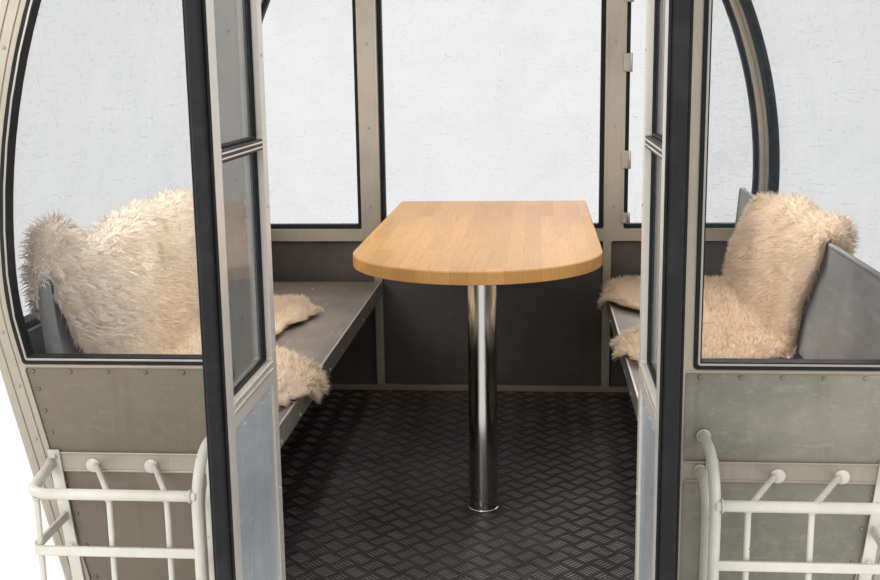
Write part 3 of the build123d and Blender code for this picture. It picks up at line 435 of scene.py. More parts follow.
def wall_x(height, inset=0.0):
    """Half length of the cabin at a height, inside its skin by the inset."""
    foot_x, foot_z = LOWER_X + (LOWER_R - inset) * cos(LEAN), WAIST_Z - (LOWER_R - inset) * sin(LEAN)
    if height < foot_z:
        return foot_x - (foot_z - height) * tan(LEAN)
    centre, radius = (LOWER_X, LOWER_R) if height < WAIST_Z else (UPPER_X, UPPER_R)
    return centre + sqrt((radius - inset) ** 2 - (height - WAIST_Z) ** 2)


def wall_out(height, flip):
    """Direction out of an end wall at a height."""
    centre = LOWER_X if height < WAIST_Z else UPPER_X
    height = max(height, WAIST_Z - LOWER_R * sin(LEAN))
    return Vector((flip * (wall_x(height) - centre), 0, height - WAIST_Z)).normalized()


def roof_z(x, inset=0.0):
    """Height of the roof's arc over a place along the rope."""
    return ROOF_CENTRE_Z + sqrt((ROOF_R - inset) ** 2 - x ** 2)


def rounded(corners, radius, steps=5):
    """Closed path through flat points, with the corners that are sharper than 30 degrees rounded."""
    path, count = [], len(corners)
    for n in range(count):
        here = Vector(corners[n])
        into = (here - Vector(corners[n - 1])).normalized()
        out = (Vector(corners[(n + 1) % count]) - here).normalized()
        turn = into.angle(out)
        if turn < radians(30):
            path.append(tuple(here))
            continue
        reach = radius * tan(turn / 2)
        start, end = here - into * reach, here + out * reach
        middle = here + (out - into).normalized() * (radius / cos(turn / 2))
        for k in range(steps + 1):
            share = k / steps
            arm = (start - middle) * sin((1 - share) * turn) + (end - middle) * sin(share * turn)
            path.append(tuple(middle + arm / sin(turn)))
    return path


def bay(x, inset, low, top, flip, radius, rows=12):
    """Closed path round a bay of the door side or the back, as x and height."""
    lift = [low + (top - low) * n / rows for n in range(rows + 1)]
    clear = [z for z in lift[1:-1] if low + radius < z < top - radius]
    side = [(wall_x(low, inset), low)] + [(wall_x(z, inset), z) for z in clear] + [(wall_x(top, inset), top)]
    corners = [(x, low)] + side + [(x, top)]
    return [(flip * a, b) for a, b in rounded(corners, radius)]


def frame_path(half, low, top, radius, middle=0.0):
    """Closed path round a plain opening, as x and height."""
    left, right = middle - half, middle + half
    return rounded([(left, low), (right, low), (right, top), (left, top)], radius)


def spaced(start, end, pitch):
    """Places from start to end, about a pitch apart."""
    count = max(1, round(abs(end - start) / pitch))
    return [start + (end - start) * n / count for n in range(count + 1)]


def profile_finish(slot, colour, rough=0.42, metal=0.55):
    """Worn aluminium: fine scratches along it, pits, a brown film of dirt and painted shade in its corners
    and low down, painted light on the door leaves' profiles, and bright edges.
    """
    f = Finish(slot, colour, rough, metal)
    cloud = f.noise(3.0, 6.0, 0.62)
    scratch = f.noise(150.0, 3.0, 0.6, f.stretched(z=0.05))
    rounded_off, edge = f.soft_edges(0.0022)
    height, depth = f.axis("Z"), f.axis("Y")
    # Painted shade: darker near the floor; in the corners, dirt and painted shade
    low = (FLOOR_Z + 0.07 - height).between(0.0, 0.05)
    grime_and_shade = (f.corners(0.045) * 0.85 + cloud.between(0.56, 0.8) * 0.35 + low * 0.5).clip()
    # Painted light: the door leaves' profiles are made paler than the rest, as if lit brighter
    leaf = (-0.952 - depth).between(0.0, 0.004)
    coats = [(leaf * 0.7, (0.93, 0.89, 0.83)), (scratch.between(0.58, 0.72) * 0.30, 1.45),
             ((0.14 - f.cells(420.0)).between(0.0, 0.1) * 0.35, 0.5), (grime_and_shade * 0.7, (0.20, 0.15, 0.10)),
             (edge * 0.55, 1.5)]
    if slot == "profile":
        # The leaves' middle bar is dark between its two bright lips
        bar = (height > up(1.0236)) * (height < up(1.0444)) * (depth < -0.989) * (depth > -1.280)
        coats.append((bar, (0.014, 0.014, 0.015)))
    base = f.coats(cloud.between(0.35, 0.65), 0.86, 1.12, *coats)
    f.dress(base, rough + 0.16 * cloud + 0.2 * grime_and_shade - 0.08 * scratch,
            f.bump(scratch * 0.5 + cloud * 0.5, 0.10, 0.0006, rounded_off))


def panel_finish(slot, colour, film, speckle=0.45, rough=0.46, metal=0.45, left_dirt_and_light=0.0):
    """Weathered sheet: streaks, flecks, strokes, dirt and painted shade in its corners, and a film of dirt
    and painted warm light that can thicken to the left.
    """
    f = Finish(slot, colour, rough, metal)
    cloud = f.noise(2.2, 7.0, 0.66, warp=0.4)
    fine = f.noise(38.0, 5.0, 0.7)
    streak = f.noise(26.0, 4.0, 0.6, f.stretched(z=0.06))
    strokes = f.noise(95.0, 2.0, 0.5, f.stretched(x=0.16), 1.2)
    rounded_off, edge = f.soft_edges(0.002)
    # Dirt along the streaks, and painted shade in the corners
    grime_and_shade = (f.corners(0.06) * 0.8 + streak.between(0.55, 0.78) * 0.35).clip()
    coats = [(fine.between(0.5, 0.74) * speckle, 1.7),
             ((0.22 - f.cells(160.0, f.stretched(z=1.6))).between(0.0, 0.16) * speckle, 0.42),
             (strokes.between(0.64, 0.7) * 0.25, 1.9)]
    # Dirt, with painted warm light and shade: a brown film that thickens to the left
    if left_dirt_and_light:
        side = (-1.0 * f.axis("X")).between(-0.2, 0.4)
        coats.append(((side * left_dirt_and_light * (0.55 + 0.6 * cloud)).clip(), film))
    coats += [(grime_and_shade * 0.6, [c * 0.5 for c in film]), (edge * 0.4, 1.5)]
    base = f.coats(cloud.between(0.36, 0.64), 0.76, 1.22, *coats)
    f.dress(base, rough + 0.25 * fine - 0.12 * strokes + 0.15 * grime_and_shade,
            f.bump(f.noise(5.0, 1.0, 0.4) * 3.0 + fine * 0.25, 0.16, 0.0018, rounded_off))


def board_finish(slot, colour, rough=0.55):
    """Painted or moulded board, rubbed bright along its edges."""
    f = Finish(slot, colour, rough)
    cloud, fine = f.noise(5.0, 6.0, 0.6), f.noise(240.0, 3.0, 0.6)
    rub = f.noise(60.0, 3.0, 0.6, f.stretched(y=0.08))
    rounded_off, edge = f.soft_edges(0.0025)
    base = f.coats(cloud.between(0.35, 0.65), 0.78, 1.25, (rub.between(0.56, 0.74) * 0.4, 1.8),
                   (edge * 0.55, 2.3))
    f.dress(base, rough + 0.2 * fine - 0.15 * rub, f.bump(fine, 0.25, 0.0005, rounded_off))


def pane_finish(slot, colour):
    """Scratched clear window; the leaves' panes are smoked darker."""
    f = Finish(slot, colour, 0.06)
    cloud = f.noise(1.7, 5.0, 0.6, warp=0.6)
    lines = f.noise(210.0, 2.0, 0.5, f.stretched(x=0.10), 2.2)
    crossed = f.noise(180.0, 2.0, 0.5, f.stretched(z=0.12), 2.6)
    scratch = (lines.between(0.66, 0.72) + crossed.between(0.67, 0.73)).clip()
    haze = f.noise(7.0, 6.0, 0.7).between(0.5, 0.85)
    leaf = (-0.945 - f.axis("Y")).between(0.0, 0.002)
    f.dress(f.blend((scratch * 0.5 + haze * 0.22).clip(), colour, (0.30, 0.36, 0.42)),
            0.05 + 0.25 * scratch + 0.12 * haze, f.bump(scratch, 0.08, 0.0003),
            Alpha=(0.045 + 0.07 * cloud + 0.20 * scratch + 0.05 * haze + 0.42 * leaf).clip())


def rubber_finish(slot, colour):
    """Black rubber with dust on its edges."""
    f = Finish(slot, colour, 0.62, Specular_IOR_Level=0.25)
    dust, fine = f.noise(9.0, 5.0, 0.65), f.noise(420.0, 2.0, 0.5)
    rounded_off, edge = f.soft_edges(0.002)
    f.dress(f.blend((dust.between(0.5, 0.8) * 0.5 + edge * 0.2).clip(), colour, (0.050, 0.048, 0.045)),
            0.5 + 0.3 * dust, f.bump(fine, 0.15, 0.0003, rounded_off))


def tread_finish(slot, colour):
    """Dark plate with its raised bars worn bright, their tops lightened further as a painted highlight."""
    f = Finish(slot, colour, 0.42, 0.6)
    cloud, fine = f.noise(2.6, 6.0, 0.65), f.noise(90.0, 4.0, 0.7)
    worn = (f.axis("Z") - (FLOOR_Z + 0.0006)).between(0.0, 0.0012)
    grit = (0.2 - f.cells(330.0)).between(0.0, 0.15)
    # Raised bars' tops lighter: wear, and a painted highlight
    base = f.coats(cloud.between(0.38, 0.66), 0.6, 1.5, (fine.between(0.55, 0.75) * 0.35, 2.2),
                   ((worn * (0.35 + 0.65 * cloud)).clip() * 0.8, (0.44, 0.43, 0.41)),
                   (grit * 0.5, (0.045, 0.036, 0.03)))
    f.dress(base, 0.50 - 0.24 * worn + 0.22 * fine, f.bump(fine, 0.12, 0.0006))


def zinc_finish(slot, colour):
    """Galvanised steel: spangle, dirt, painted shade in its corners, and a few rusty drips."""
    f = Finish(slot, colour, 0.42, 0.7)
    value = f.add("ShaderNodeSeparateColor", Color=f.cells(70.0, output="Color"))
    cloud = f.noise(4.0, 6.0, 0.65)
    drip = f.noise(22.0, 4.0, 0.6, f.stretched(z=0.08))
    rounded_off, edge = f.soft_edges(0.003)
    # Dark in clouds of dirt, and in the corners as painted shade
    base = f.coats(value, 0.82, 1.18,
                   ((cloud.between(0.5, 0.78) * 0.45 + f.corners(0.05) * 0.5).clip(), (0.21, 0.19, 0.165)),
                   (drip.between(0.64, 0.8) * 0.35, (0.24, 0.14, 0.08)), (edge * 0.35, 1.35))
    f.dress(base, 0.34 + 0.2 * value + 0.2 * cloud,
            f.bump(cloud * 2.0 + value * 0.3, 0.12, 0.0012, rounded_off))


def cast_finish(slot, colour):
    """Grainy casting, darkened in its corners by grease and painted shade."""
    f = Finish(slot, colour, 0.6, 0.35)
    grain, cloud = f.noise(260.0, 4.0, 0.7), f.noise(9.0, 5.0, 0.6)
    rounded_off, edge = f.soft_edges(0.004)
    base = f.coats(cloud.between(0.4, 0.65), 0.75, 1.3,
                   # Grease and painted shade in the corners
                   ((f.corners(0.03) * 0.7).clip(), (0.035, 0.03, 0.026)), (edge * 0.6, (0.42, 0.42, 0.41)))
    f.dress(base, 0.5 + 0.25 * grain, f.bump(grain, 0.4, 0.0008, rounded_off))


def beech_finish(slot, colour):
    """Beech glued up from narrow staves that run along the table."""
    f = Finish(slot, colour, 0.42, Specular_IOR_Level=0.15)
    x, y, z = (f.axis(letter) for letter in "XYZ")
    laid = {"offset": 0.42, "offset_frequency": 3, "squash_frequency": 2}
    stave = dict(Vector=f.add("ShaderNodeCombineXYZ", X=y, Y=x, Z=0.0), Scale=1.0, Brick_Width=0.46,
                 Row_Height=0.043)
    tone = f.add("ShaderNodeTexBrick", laid, 0, Color1=(0.0, 0.0, 0.0, 1.0), Color2=(1.0, 1.0, 1.0, 1.0),
                 Mortar=(0.5, 0.5, 0.5, 1.0), Mortar_Size=0.0, **stave)
    shade = f.add("ShaderNodeSeparateColor", Color=tone)
    joint = f.add("ShaderNodeTexBrick", laid, 1, Mortar_Size=0.0009, Mortar_Smooth=0.3, **stave)
    shifted = f.add("ShaderNodeCombineXYZ", X=x + shade * 3.1, Y=y * 0.055, Z=z + shade * 7.0)
    grain = f.noise(150.0, 5.0, 0.62, shifted, 0.3)
    rings = (f.noise(16.0, 3.0, 0.5, shifted, 0.6) * 26.0).wave() * 0.5 + 0.5
    flecks = f.noise(420.0, 2.0, 0.5, shifted)
    rounded_off, _ = f.soft_edges(0.0025)
    base = f.coats(shade, 0.88, 1.10, (rings * 0.22, 0.62), (grain.between(0.5, 0.75) * 0.35, 0.66),
                   (flecks.between(0.62, 0.7) * 0.3, 0.5), (joint * 0.32, 0.42))
    f.dress(base, 0.28 + 0.2 * grain, f.bump(grain - joint, 0.10, 0.0005, rounded_off))


def chrome_finish(slot, colour, rough=0.09):
    """Chromed tube with smears and a few pits."""
    f = Finish(slot, colour, rough, 1.0)
    cloud, smear = f.noise(14.0, 5.0, 0.6), f.noise(60.0, 3.0, 0.6, f.stretched(z=0.1))
    pits = (0.08 - f.cells(260.0)).between(0.0, 0.05)
    f.dress(f.blend((pits * 0.6 + cloud.between(0.6, 0.8) * 0.2).clip(), colour, (0.30, 0.25, 0.2)),
            rough + 0.12 * smear + 0.3 * pits, f.bump(smear, 0.02, 0.0004))


def enamel_finish(slot, colour, rough=0.3):
    """Thick paint, chipped here and there to rusty steel, and brown in its corners with rust and painted
    shade.
    """
    f = Finish(slot, colour, rough, Coat_Weight=0.2, Coat_Roughness=0.25)
    cloud, peel = f.noise(6.0, 6.0, 0.65), f.noise(230.0, 2.0, 0.5)
    chip = f.noise(34.0, 5.0, 0.7).between(0.665, 0.69)
    rounded_off, edge = f.soft_edges(0.003)
    base = f.coats(cloud.between(0.4, 0.7), 0.86, 1.06,
                   # Rust and painted shade in the corners
                   ((f.corners(0.03) * 0.75).clip(), (0.20, 0.155, 0.105)), (chip, (0.16, 0.10, 0.06)),
                   (edge * 0.25, 1.2))
    f.dress(base, rough + 0.15 * cloud + 0.35 * chip, f.bump(peel * 0.3 - chip, 0.14, 0.0006, rounded_off))


def wool_finish(slot, tip, root):
    """Cream wool: painted daylight on the door side, painted warm light low down, darker and warmer near the
    hide partly as painted shade, and warmer on the right; light comes through its fine hairs.
    """
    f = Finish(slot, tip, 0.9, Sheen_Weight=0.6, Sheen_Roughness=0.6)
    height = f.add("ShaderNodeAttribute", {"attribute_name": "length"}, "Fac")
    cloud, lock = f.noise(5.0, 4.0, 0.6), f.noise(42.0, 4.0, 0.6)
    x, y, z = (f.axis(letter) for letter in "XYZ")
    # Painted daylight: paler, cooler wool on the door side
    painted_daylight = (-1.0 * x).between(0.2, 0.7) * (-1.0 * y).between(0.30, 0.62)
    # Painted warm light: peach wool low down
    low = (FLOOR_Z + 0.80 - z).between(0.0, 0.26)
    base = f.coats((low * 0.85 + 0.5 * cloud - 0.25).clip(), tip, root, (painted_daylight * 0.75, (0.90, 0.87, 0.86)),
                   (x.between(0.2, 0.6) * 0.55, (0.92, 0.60, 0.33)),
                   # Darker near the hide and in some locks: tone that differs, and painted shade in the pile
                   ((0.30 + 0.35 * lock - 0.25 * height).clip(), [c * 0.90 for c in root]))
    # Wool is lit by the way its skin faces, as a dense pile is
    outward = f.add("ShaderNodeAttribute", {"attribute_name": "outward"}, "Vector")
    turned = f.add("ShaderNodeVectorTransform", {"vector_type": "VECTOR", "convert_from": "OBJECT",
                                                 "convert_to": "WORLD"}, Vector=outward)
    facing = f.add("ShaderNodeNewGeometry", output="Normal")
    mixed = f.vector_maths("ADD", f.vector_maths("SCALE", facing, Scale=0.45), turned)
    f.dress(base, 0.8 + 0.2 * lock, f.vector_maths("NORMALIZE", mixed))
    f.over(0.42, f.add("ShaderNodeBsdfTranslucent", Color=(0.90, 0.76, 0.58, 1.0)))


def make_finishes(colours):
    """All the finishes, each named after its slot."""
    profile_finish("profile", colours.profile)
    profile_finish("edge_strip", colours.edge, 0.36, 0.75)
    panel_finish("wall_panel", colours.wall_panel, colours.panel_dirt_and_warm_light, left_dirt_and_light=0.75)
    # The back panels' dark colour is partly painted shade
    panel_finish("back_panel", colours.back_panel, (0.05, 0.04, 0.03), 0.25, 0.5, 0.1)
    panel_finish("leaf_panel", colours.leaf_panel, (0.25, 0.25, 0.24), 0.22, 0.36, 0.3)
    panel_finish("roof_paint", colours.roof, (0.24, 0.21, 0.17), 0.18, 0.42, 0.0)
    board_finish("seat_board", colours.seat)
    board_finish("backrest_plate", colours.backrest, 0.42)
    board_finish("wheel_plastic", (0.020, 0.020, 0.022), 0.5)
    pane_finish("pane", colours.pane)
    rubber_finish("rubber", colours.rubber)
    tread_finish("tread_plate", colours.tread)
    zinc_finish("galvanised", colours.zinc)
    zinc_finish("spring_steel", (0.20, 0.195, 0.19))
    cast_finish("cast", colours.cast)
    beech_finish("beech", colours.beech)
    chrome_finish("chromed", (0.62, 0.60, 0.57))
    enamel_finish("rack_paint", colours.rack)
    wool_finish("fleece", colours.fleece, colours.fleece_root)


def finish_of(slot):
    """The finish made for a slot of the record."""
    return bpy.data.materials[f"{slot}_finish"]


class GondolaOperator(bpy.types.Operator):
    """Shared by the operators: pieces on a body, each with the finish of a slot."""
    bl_options = {"REGISTER", "UNDO"}

    def put(self, shape, name, body, slot):
        """Place a shape that has been filled."""
        if not shape.points:
            raise RuntimeError(f"{name} has no shape")
        return shape.place(name, body, slot, finish_of(slot))


class GONDOLA_OT_stage(GondolaOperator):
    """Camera at the door side, soft daylight and a pale floor under the hanging cabin"""
    bl_idname = "gondola.stage"
    bl_label = "Stage"

    def execute(self, context):
        scene = context.scene
        data = bpy.data.cameras.new("Door Side")
        data.sensor_width, data.clip_end = SENSOR_WIDTH, 200.0
        data.lens = FOCAL_LENGTH * SENSOR_WIDTH / PICTURE_WIDTH
        camera = bpy.data.objects.new("Door Side", data)
        scene.collection.objects.link(camera)
        yaw, pitch, roll = (radians(degrees) for degrees in CAMERA_TURN)
        ahead = Vector((-sin(yaw) * cos(pitch), cos(yaw) * cos(pitch), -sin(pitch)))
        right = Vector((cos(yaw), sin(yaw), 0.0))
        down = ahead.cross(right)
        across, below = right * cos(roll) + down * sin(roll), down * cos(roll) - right * sin(roll)
        turn = Matrix((across, -below, -ahead)).transposed()
        camera.matrix_world = Matrix.Translation(CAMERA_PLACE) @ turn.to_4x4()
        scene.camera = camera

        world = bpy.data.worlds.new("Daylight")
        world.use_nodes = True
        sky = Nodes(world.node_tree)
        sky.surface("World Output", sky.seen(),
                    sky.add("ShaderNodeBackground", Color=(0.97, 0.98, 1.0, 1.0), Strength=0.70),
                    sky.add("ShaderNodeBackground", Color=(1.0, 1.0, 1.0, 1.0), Strength=1.0))
        scene.world = world

        for name, (place, target, width, watts) in LAMPS.items():
            lamp = bpy.data.lights.new(name, "AREA")
            lamp.shape, lamp.size, lamp.energy = "DISK", width, watts
            if "Bench" in name:
                lamp.shape, lamp.size_y, lamp.spread = "RECTANGLE", 0.22, radians(80)
            held = bpy.data.objects.new(name, lamp)
            held.location = place
            held.rotation_euler = (Vector(target) - Vector(place)).to_track_quat("-Z", "Y").to_euler()
            held.visible_camera = False
            scene.collection.objects.link(held)

        floor, corners = Shape(), ((-1, -1), (1, -1), (1, 1), (-1, 1))
        level = FLOOR_Z - FLOOR_DROP
        floor.add([(x * FLOOR_REACH, y * FLOOR_REACH, level) for x, y in corners], [(0, 1, 2, 3)])
        pale = Finish("pale_floor", (0.88, 0.88, 0.87), 0.85)
        cloud = pale.noise(0.8).between(0.3, 0.7)
        pale.set(Base_Color=pale.blend(cloud, (0.87, 0.87, 0.86), (0.89, 0.89, 0.88)))
        white = pale.add("ShaderNodeEmission", Color=(1.0, 1.0, 1.0, 1.0), Strength=1.0)
        pale.over(pale.seen() * 0.95, white)
        floor.place("studio_floor", None, None, pale.material)
        scene.view_settings.view_transform = "Standard"
        return {"FINISHED"}


class GONDOLA_OT_finishes(GondolaOperator):
    """Finishes of metal, rubber, wood and window for all the solids"""
    bl_idname = "gondola.finishes"
    bl_label = "Finishes"

    def execute(self, context):
        make_finishes(context.scene.gondola_colours)
        for entry in frame["record"]["subparts"]:
            solid = NODES[entry["node"]]
            if not solid.material_slots:
                solid.data.materials.append(None)
            for held in solid.material_slots:
                held.material = finish_of(entry["material_slot"])
        return {"FINISHED"}


class GONDOLA_OT_rivets(GondolaOperator):
    """Rivets along the profiles and posts, and over the lower panels, the end walls and the roof"""
    bl_idname = "gondola.rivets"
    bl_label = "Rivets"

    def execute(self, context):
        size = context.scene.gondola_sizes
        head, pitch = size.rivet, size.rivet_pitch
        rings, panels, ends = Shape(), Shape(), Shape()

        def on_wall(shape, y, out, places, radius=head):
            """Rivets on a face that looks along Y, at places given as x and height."""
            for x, z in places:
                shape.rivet((x, y, up(z)), (0, out, 0), radius)

        def on_end(flip, places, inset=0.0):
            """Rivets on a curved end wall, at places given as y and height."""
            for y, z in places:
                ends.rivet((flip * wall_x(z, inset), y, up(z)), wall_out(z, flip), head)

        for _, flip in SIDES:
            for out in (-1, 1):
                on_wall(rings, out * HALF_DEPTH, out,
                        [(flip * wall_x(z, 0.0345), z) for z in spaced(-0.045, 1.80, 0.115)]
                        + [(flip * x, roof_z(x, 0.0345)) for x in spaced(0.06, 0.70, 0.16)], head * 0.8)
            # Door side: the top row, and the outer edges of the panels over and under the belt
            on_wall(panels, -PANEL_Y, -1,
                    [(flip * x, 0.5625) for x in spaced(0.485, wall_x(0.5625, RING + 0.014), pitch)]
                    + [(flip * wall_x(z, RING + 0.014), z)
                       for z in spaced(0.43, 0.525, 0.06) + spaced(0.035, 0.320, 0.064)])
            for x, y, out in ((0.431, INNER, -1), (0.431, HALF_DEPTH, 1), (0.4355, -HALF_DEPTH, -1)):
                on_wall(rings, y, out, [(flip * x, z) for z in (0.679, 0.960, 1.249, 1.530)])
            on_wall(panels, PANEL_Y, 1,
                    [(flip * x, z) for z in spaced(0.05, 0.535, 0.081)
                     for x in (0.438, 0.382, wall_x(z, RING + 0.014))]
                    + [(flip * x, 0.541) for x in spaced(0.455, 0.86, pitch)])
            # End walls: rows round the window and down the panel
            on_end(flip, [(y, z) for z in (0.582, 1.705) for y in spaced(-0.84, 0.84, 0.105)]
                   + [(y, z) for y in (-0.8725, 0.8725) for z in spaced(0.64, 1.65, 0.101)])
            on_end(flip, [(y, z) for z in (0.535, 0.285, 0.03) for y in spaced(-0.84, 0.84, 0.105)]
                   + [(y, z) for y in (-0.862, -0.30, 0.30, 0.862) for z in spaced(0.085, 0.48, 0.079)],
                   END_PANEL)
        on_wall(panels, PANEL_Y, 1, [(x, z) for x in spaced(-0.34, 0.34, pitch) for z in (0.541, 0.034)])
        for y in spaced(-0.86, 0.86, 0.107):
            for x in (-0.248, 0.272):
                ends.rivet((x, y, up(roof_z(x))), (x / ROOF_R, 0, 1), head)
        self.put(rings, "profile_rivets", "cabin", "profile")
        self.put(panels, "panel_rivets", "cabin", "wall_panel")
        self.put(ends, "end_rivets", "cabin", "roof_paint")
        return {"FINISHED"}


class GONDOLA_OT_trims(GondolaOperator):
    """Bright strips in the window rubbers, and the mouldings and seams of the outer skin"""
    bl_idname = "gondola.trims"
    bl_label = "Window Trims and Seams"

    def execute(self, context):
        width, inside, proud = context.scene.gondola_sizes.trim, GASKET * 0.68, 0.0006
        strips, seams, caps = Shape(), Shape(), Shape()

        def on_wall(shape, path, y, out, *section, closed=False):
            """Strip on a face that looks along Y, through places given as x and height."""
            shape.strip([(x, y, up(z)) for x, z in path], *section, (0, out, 0), closed)

        for _, flip in SIDES:
            for (x, low, top), out in ((FRONT_PANE, -1), (BACK_PANE, 1)):
                ring = bay(x + inside, RING + inside, low + inside, top - inside, flip, 0.003)
                on_wall(strips, ring, out * RUBBER_Y, out, width, proud, closed=True)
            # Window rubber of the end wall, on its curved face
            low, top, edge = 0.640 - 0.0075, 1.650 + 0.0075, 0.850 + 0.0075
            ring = rounded([(-edge, low)] + [(edge, z) for z in spaced(low, top, 0.1)]
                           + [(-edge, z) for z in spaced(top, low, 0.1)[:-1]], 0.032)
            strips.strip([(flip * wall_x(z, -0.003), y, up(z)) for y, z in ring], width, proud,
                         [wall_out(z, flip) for _, z in ring], True)
            # Inside, a bright bead down each post along the middle window
            on_wall(strips, [(flip * 0.4005, z) for z in (0.602, 1.700)], INNER, -1, 0.0065, 0.0016)
            # Drip mouldings over and under the belt, and the frame rail's lip under the window
            for z, wide, tall in ((0.3865, 0.004, 0.0022), (0.3480, 0.004, 0.0016), (0.5760, 0.0032, 0.0014)):
                ends = (0.458, wall_x(z, RING) - 0.004)
                on_wall(seams, [(flip * x, z) for x in ends], -HALF_DEPTH, -1, wide, tall)
            # Inner edge of the doorway's posts
            on_wall(seams, [(flip * 0.4085, z) for z in (0.03, 1.80)], -HALF_DEPTH, -1, 0.004, 0.0015)
            # Ribs pressed into the end panels
            for y in (-0.58, 0.0, 0.58):
                rib = [(flip * wall_x(z, END_PANEL), y, up(z)) for z in (0.05, 0.25, 0.50)]
                seams.strip(rib, 0.034, 0.005, wall_out(0.2, flip))
        ring = frame_path(0.396 - inside, 0.598 + inside, 1.705 - inside, 0.003)
        on_wall(strips, ring, RUBBER_Y, 1, width, proud, closed=True)
        ys = spaced(-0.872, 0.872, 0.20)
        for x in (-0.50, 0.0, 0.50):
            caps.strip([(x, y, up(roof_z(x))) for y in ys], 0.030, 0.0035, (x / ROOF_R, 0, 1))
        for _, flip in SIDES:
            seam = [(flip * wall_x(1.7245), y, up(1.7245)) for y in ys]
            caps.strip(seam, 0.016, 0.004, wall_out(1.722, flip))
        self.put(strips, "window_trims", "cabin", "edge_strip")
        self.put(seams, "belt_mouldings", "cabin", "profile")
        self.put(caps, "roof_seams", "cabin", "roof_paint")
        return {"FINISHED"}


class GONDOLA_OT_leaf_fittings(GondolaOperator):
    """Glazing beads, bright lips, rivets and hinge screws of the two door leaves"""
    bl_idname = "gondola.leaf_fittings"
    bl_label = "Leaf Fittings"

    def execute(self, context):
        head = context.scene.gondola_sizes.rivet
        middle_y, half_y = sum(LEAF_BAY) / 2, (LEAF_BAY[1] - LEAF_BAY[0]) / 2
        bead = ((-0.0028, -0.0004), (0.0028, -0.0004), (0.0028, 0.0035), (0.001, 0.005), (-0.001, 0.005),
                (-0.0028, 0.0035))
        for name, flip in SIDES:
            beads, lips, lines = Shape(), Shape(), Shape()
            for face, out in zip(LEAF_FACES, (-flip, flip)):
                for low, top in LEAF_WINDOWS:
                    ring = frame_path(half_y - 0.0025, low + 0.0025, top - 0.0025, 0.004, middle_y)
                    x = flip * LEAF_MIDDLE + out * 0.0025
                    beads.sweep([(x, y, up(z)) for y, z in ring], bead, (out, 0, 0), True)
                for z, wide in ((0.6030, 0.0050), (0.5890, 0.0050), (1.0385, 0.0032), (1.0295, 0.0032)):
                    lips.strip([(flip * face, y, up(z)) for y in LEAF_BAY], wide, 0.0014, (out, 0, 0))
                for z in spaced(0.045, 1.78, 0.289):
                    lines.rivet((flip * face, -0.9705, up(z)), (out, 0, 0), head * 0.8)
                for y in spaced(-1.262, -1.006, 0.064):
                    for z in (0.543, 0.078):
                        lines.rivet((flip * face - out * 0.005, y, up(z)), (out, 0, 0), head * 0.7)
            for z in (0.260, 0.900, 1.560):
                for dz in (-0.0185, 0.0185):
                    lines.screw((flip * 0.400, -0.9625, up(z + dz)), (flip, 0, 0), 0.0045)
                lines.turn((flip * 0.408, -0.938, up(z + 0.0255)), SKYWARD,
                           ((0.0072, -0.001), (0.0072, 0.0022), (0.005, 0.0042), (0.002, 0.0048)), 14)
            # Rubber lips over both corners of the free edge
            for x in (0.3650, 0.3970):
                beads.strip([(flip * x, -1.3258, up(z)) for z in (0.020, 1.818)], 0.0056, 0.0030, DOORWARD)
            self.put(beads, f"glazing_beads_{name}", f"leaf_{name}", "rubber")
            self.put(lips, f"leaf_lips_{name}", f"leaf_{name}", "edge_strip")
            self.put(lines, f"leaf_panel_lines_{name}", f"leaf_{name}", "leaf_panel")
        return {"FINISHED"}


class GONDOLA_OT_tread(GondolaOperator):
    """Raised bars of the tread plate, in groups of five that lean one way and the other by turns"""
    bl_idname = "gondola.tread"
    bl_label = "Tread Plate"

    def execute(self, context):
        size = context.scene.gondola_sizes
        bars = Shape()
        pitch, long, wide = size.tread_pitch, size.tread_bar / 2, size.tread_bar * 0.065
        outline = ((long, 0), (long * 0.62, wide), (-long * 0.62, wide), (-long, 0), (-long * 0.62, -wide),
                   (long * 0.62, -wide))
        half_rows = int(0.875 / (pitch / 2)) + 2
        for row in range(-half_rows, half_rows + 1):
            odd = row % 2
            lean = radians(45 if odd else -45)
            c, s = cos(lean), sin(lean)
            turned = [(a * c - b * s, a * s + b * c) for a, b in outline]
            for column in range(-13, 14):
                for n in range(-2, 3):
                    x = -0.008 + (column + 0.5 * odd) * pitch - s * n * pitch * 0.133
                    y = 0.044 + row * pitch / 2 + c * n * pitch * 0.133
                    # The pattern ends at the plate's edges and leaves room for the leg's flange
                    if abs(x) > 0.780 or abs(y) > 0.862 or hypot(x - TABLE_LEG[0], y - TABLE_LEG[1]) < 0.056:
                        continue
                    bars.rings([[(x + a * share, y + b * share, FLOOR_Z + z) for a, b in turned]
                                for share, z in ((1.0, -0.0003), (0.8, 0.0016))])
        self.put(bars, "tread_bars", "cabin", "tread_plate")
        return {"FINISHED"}


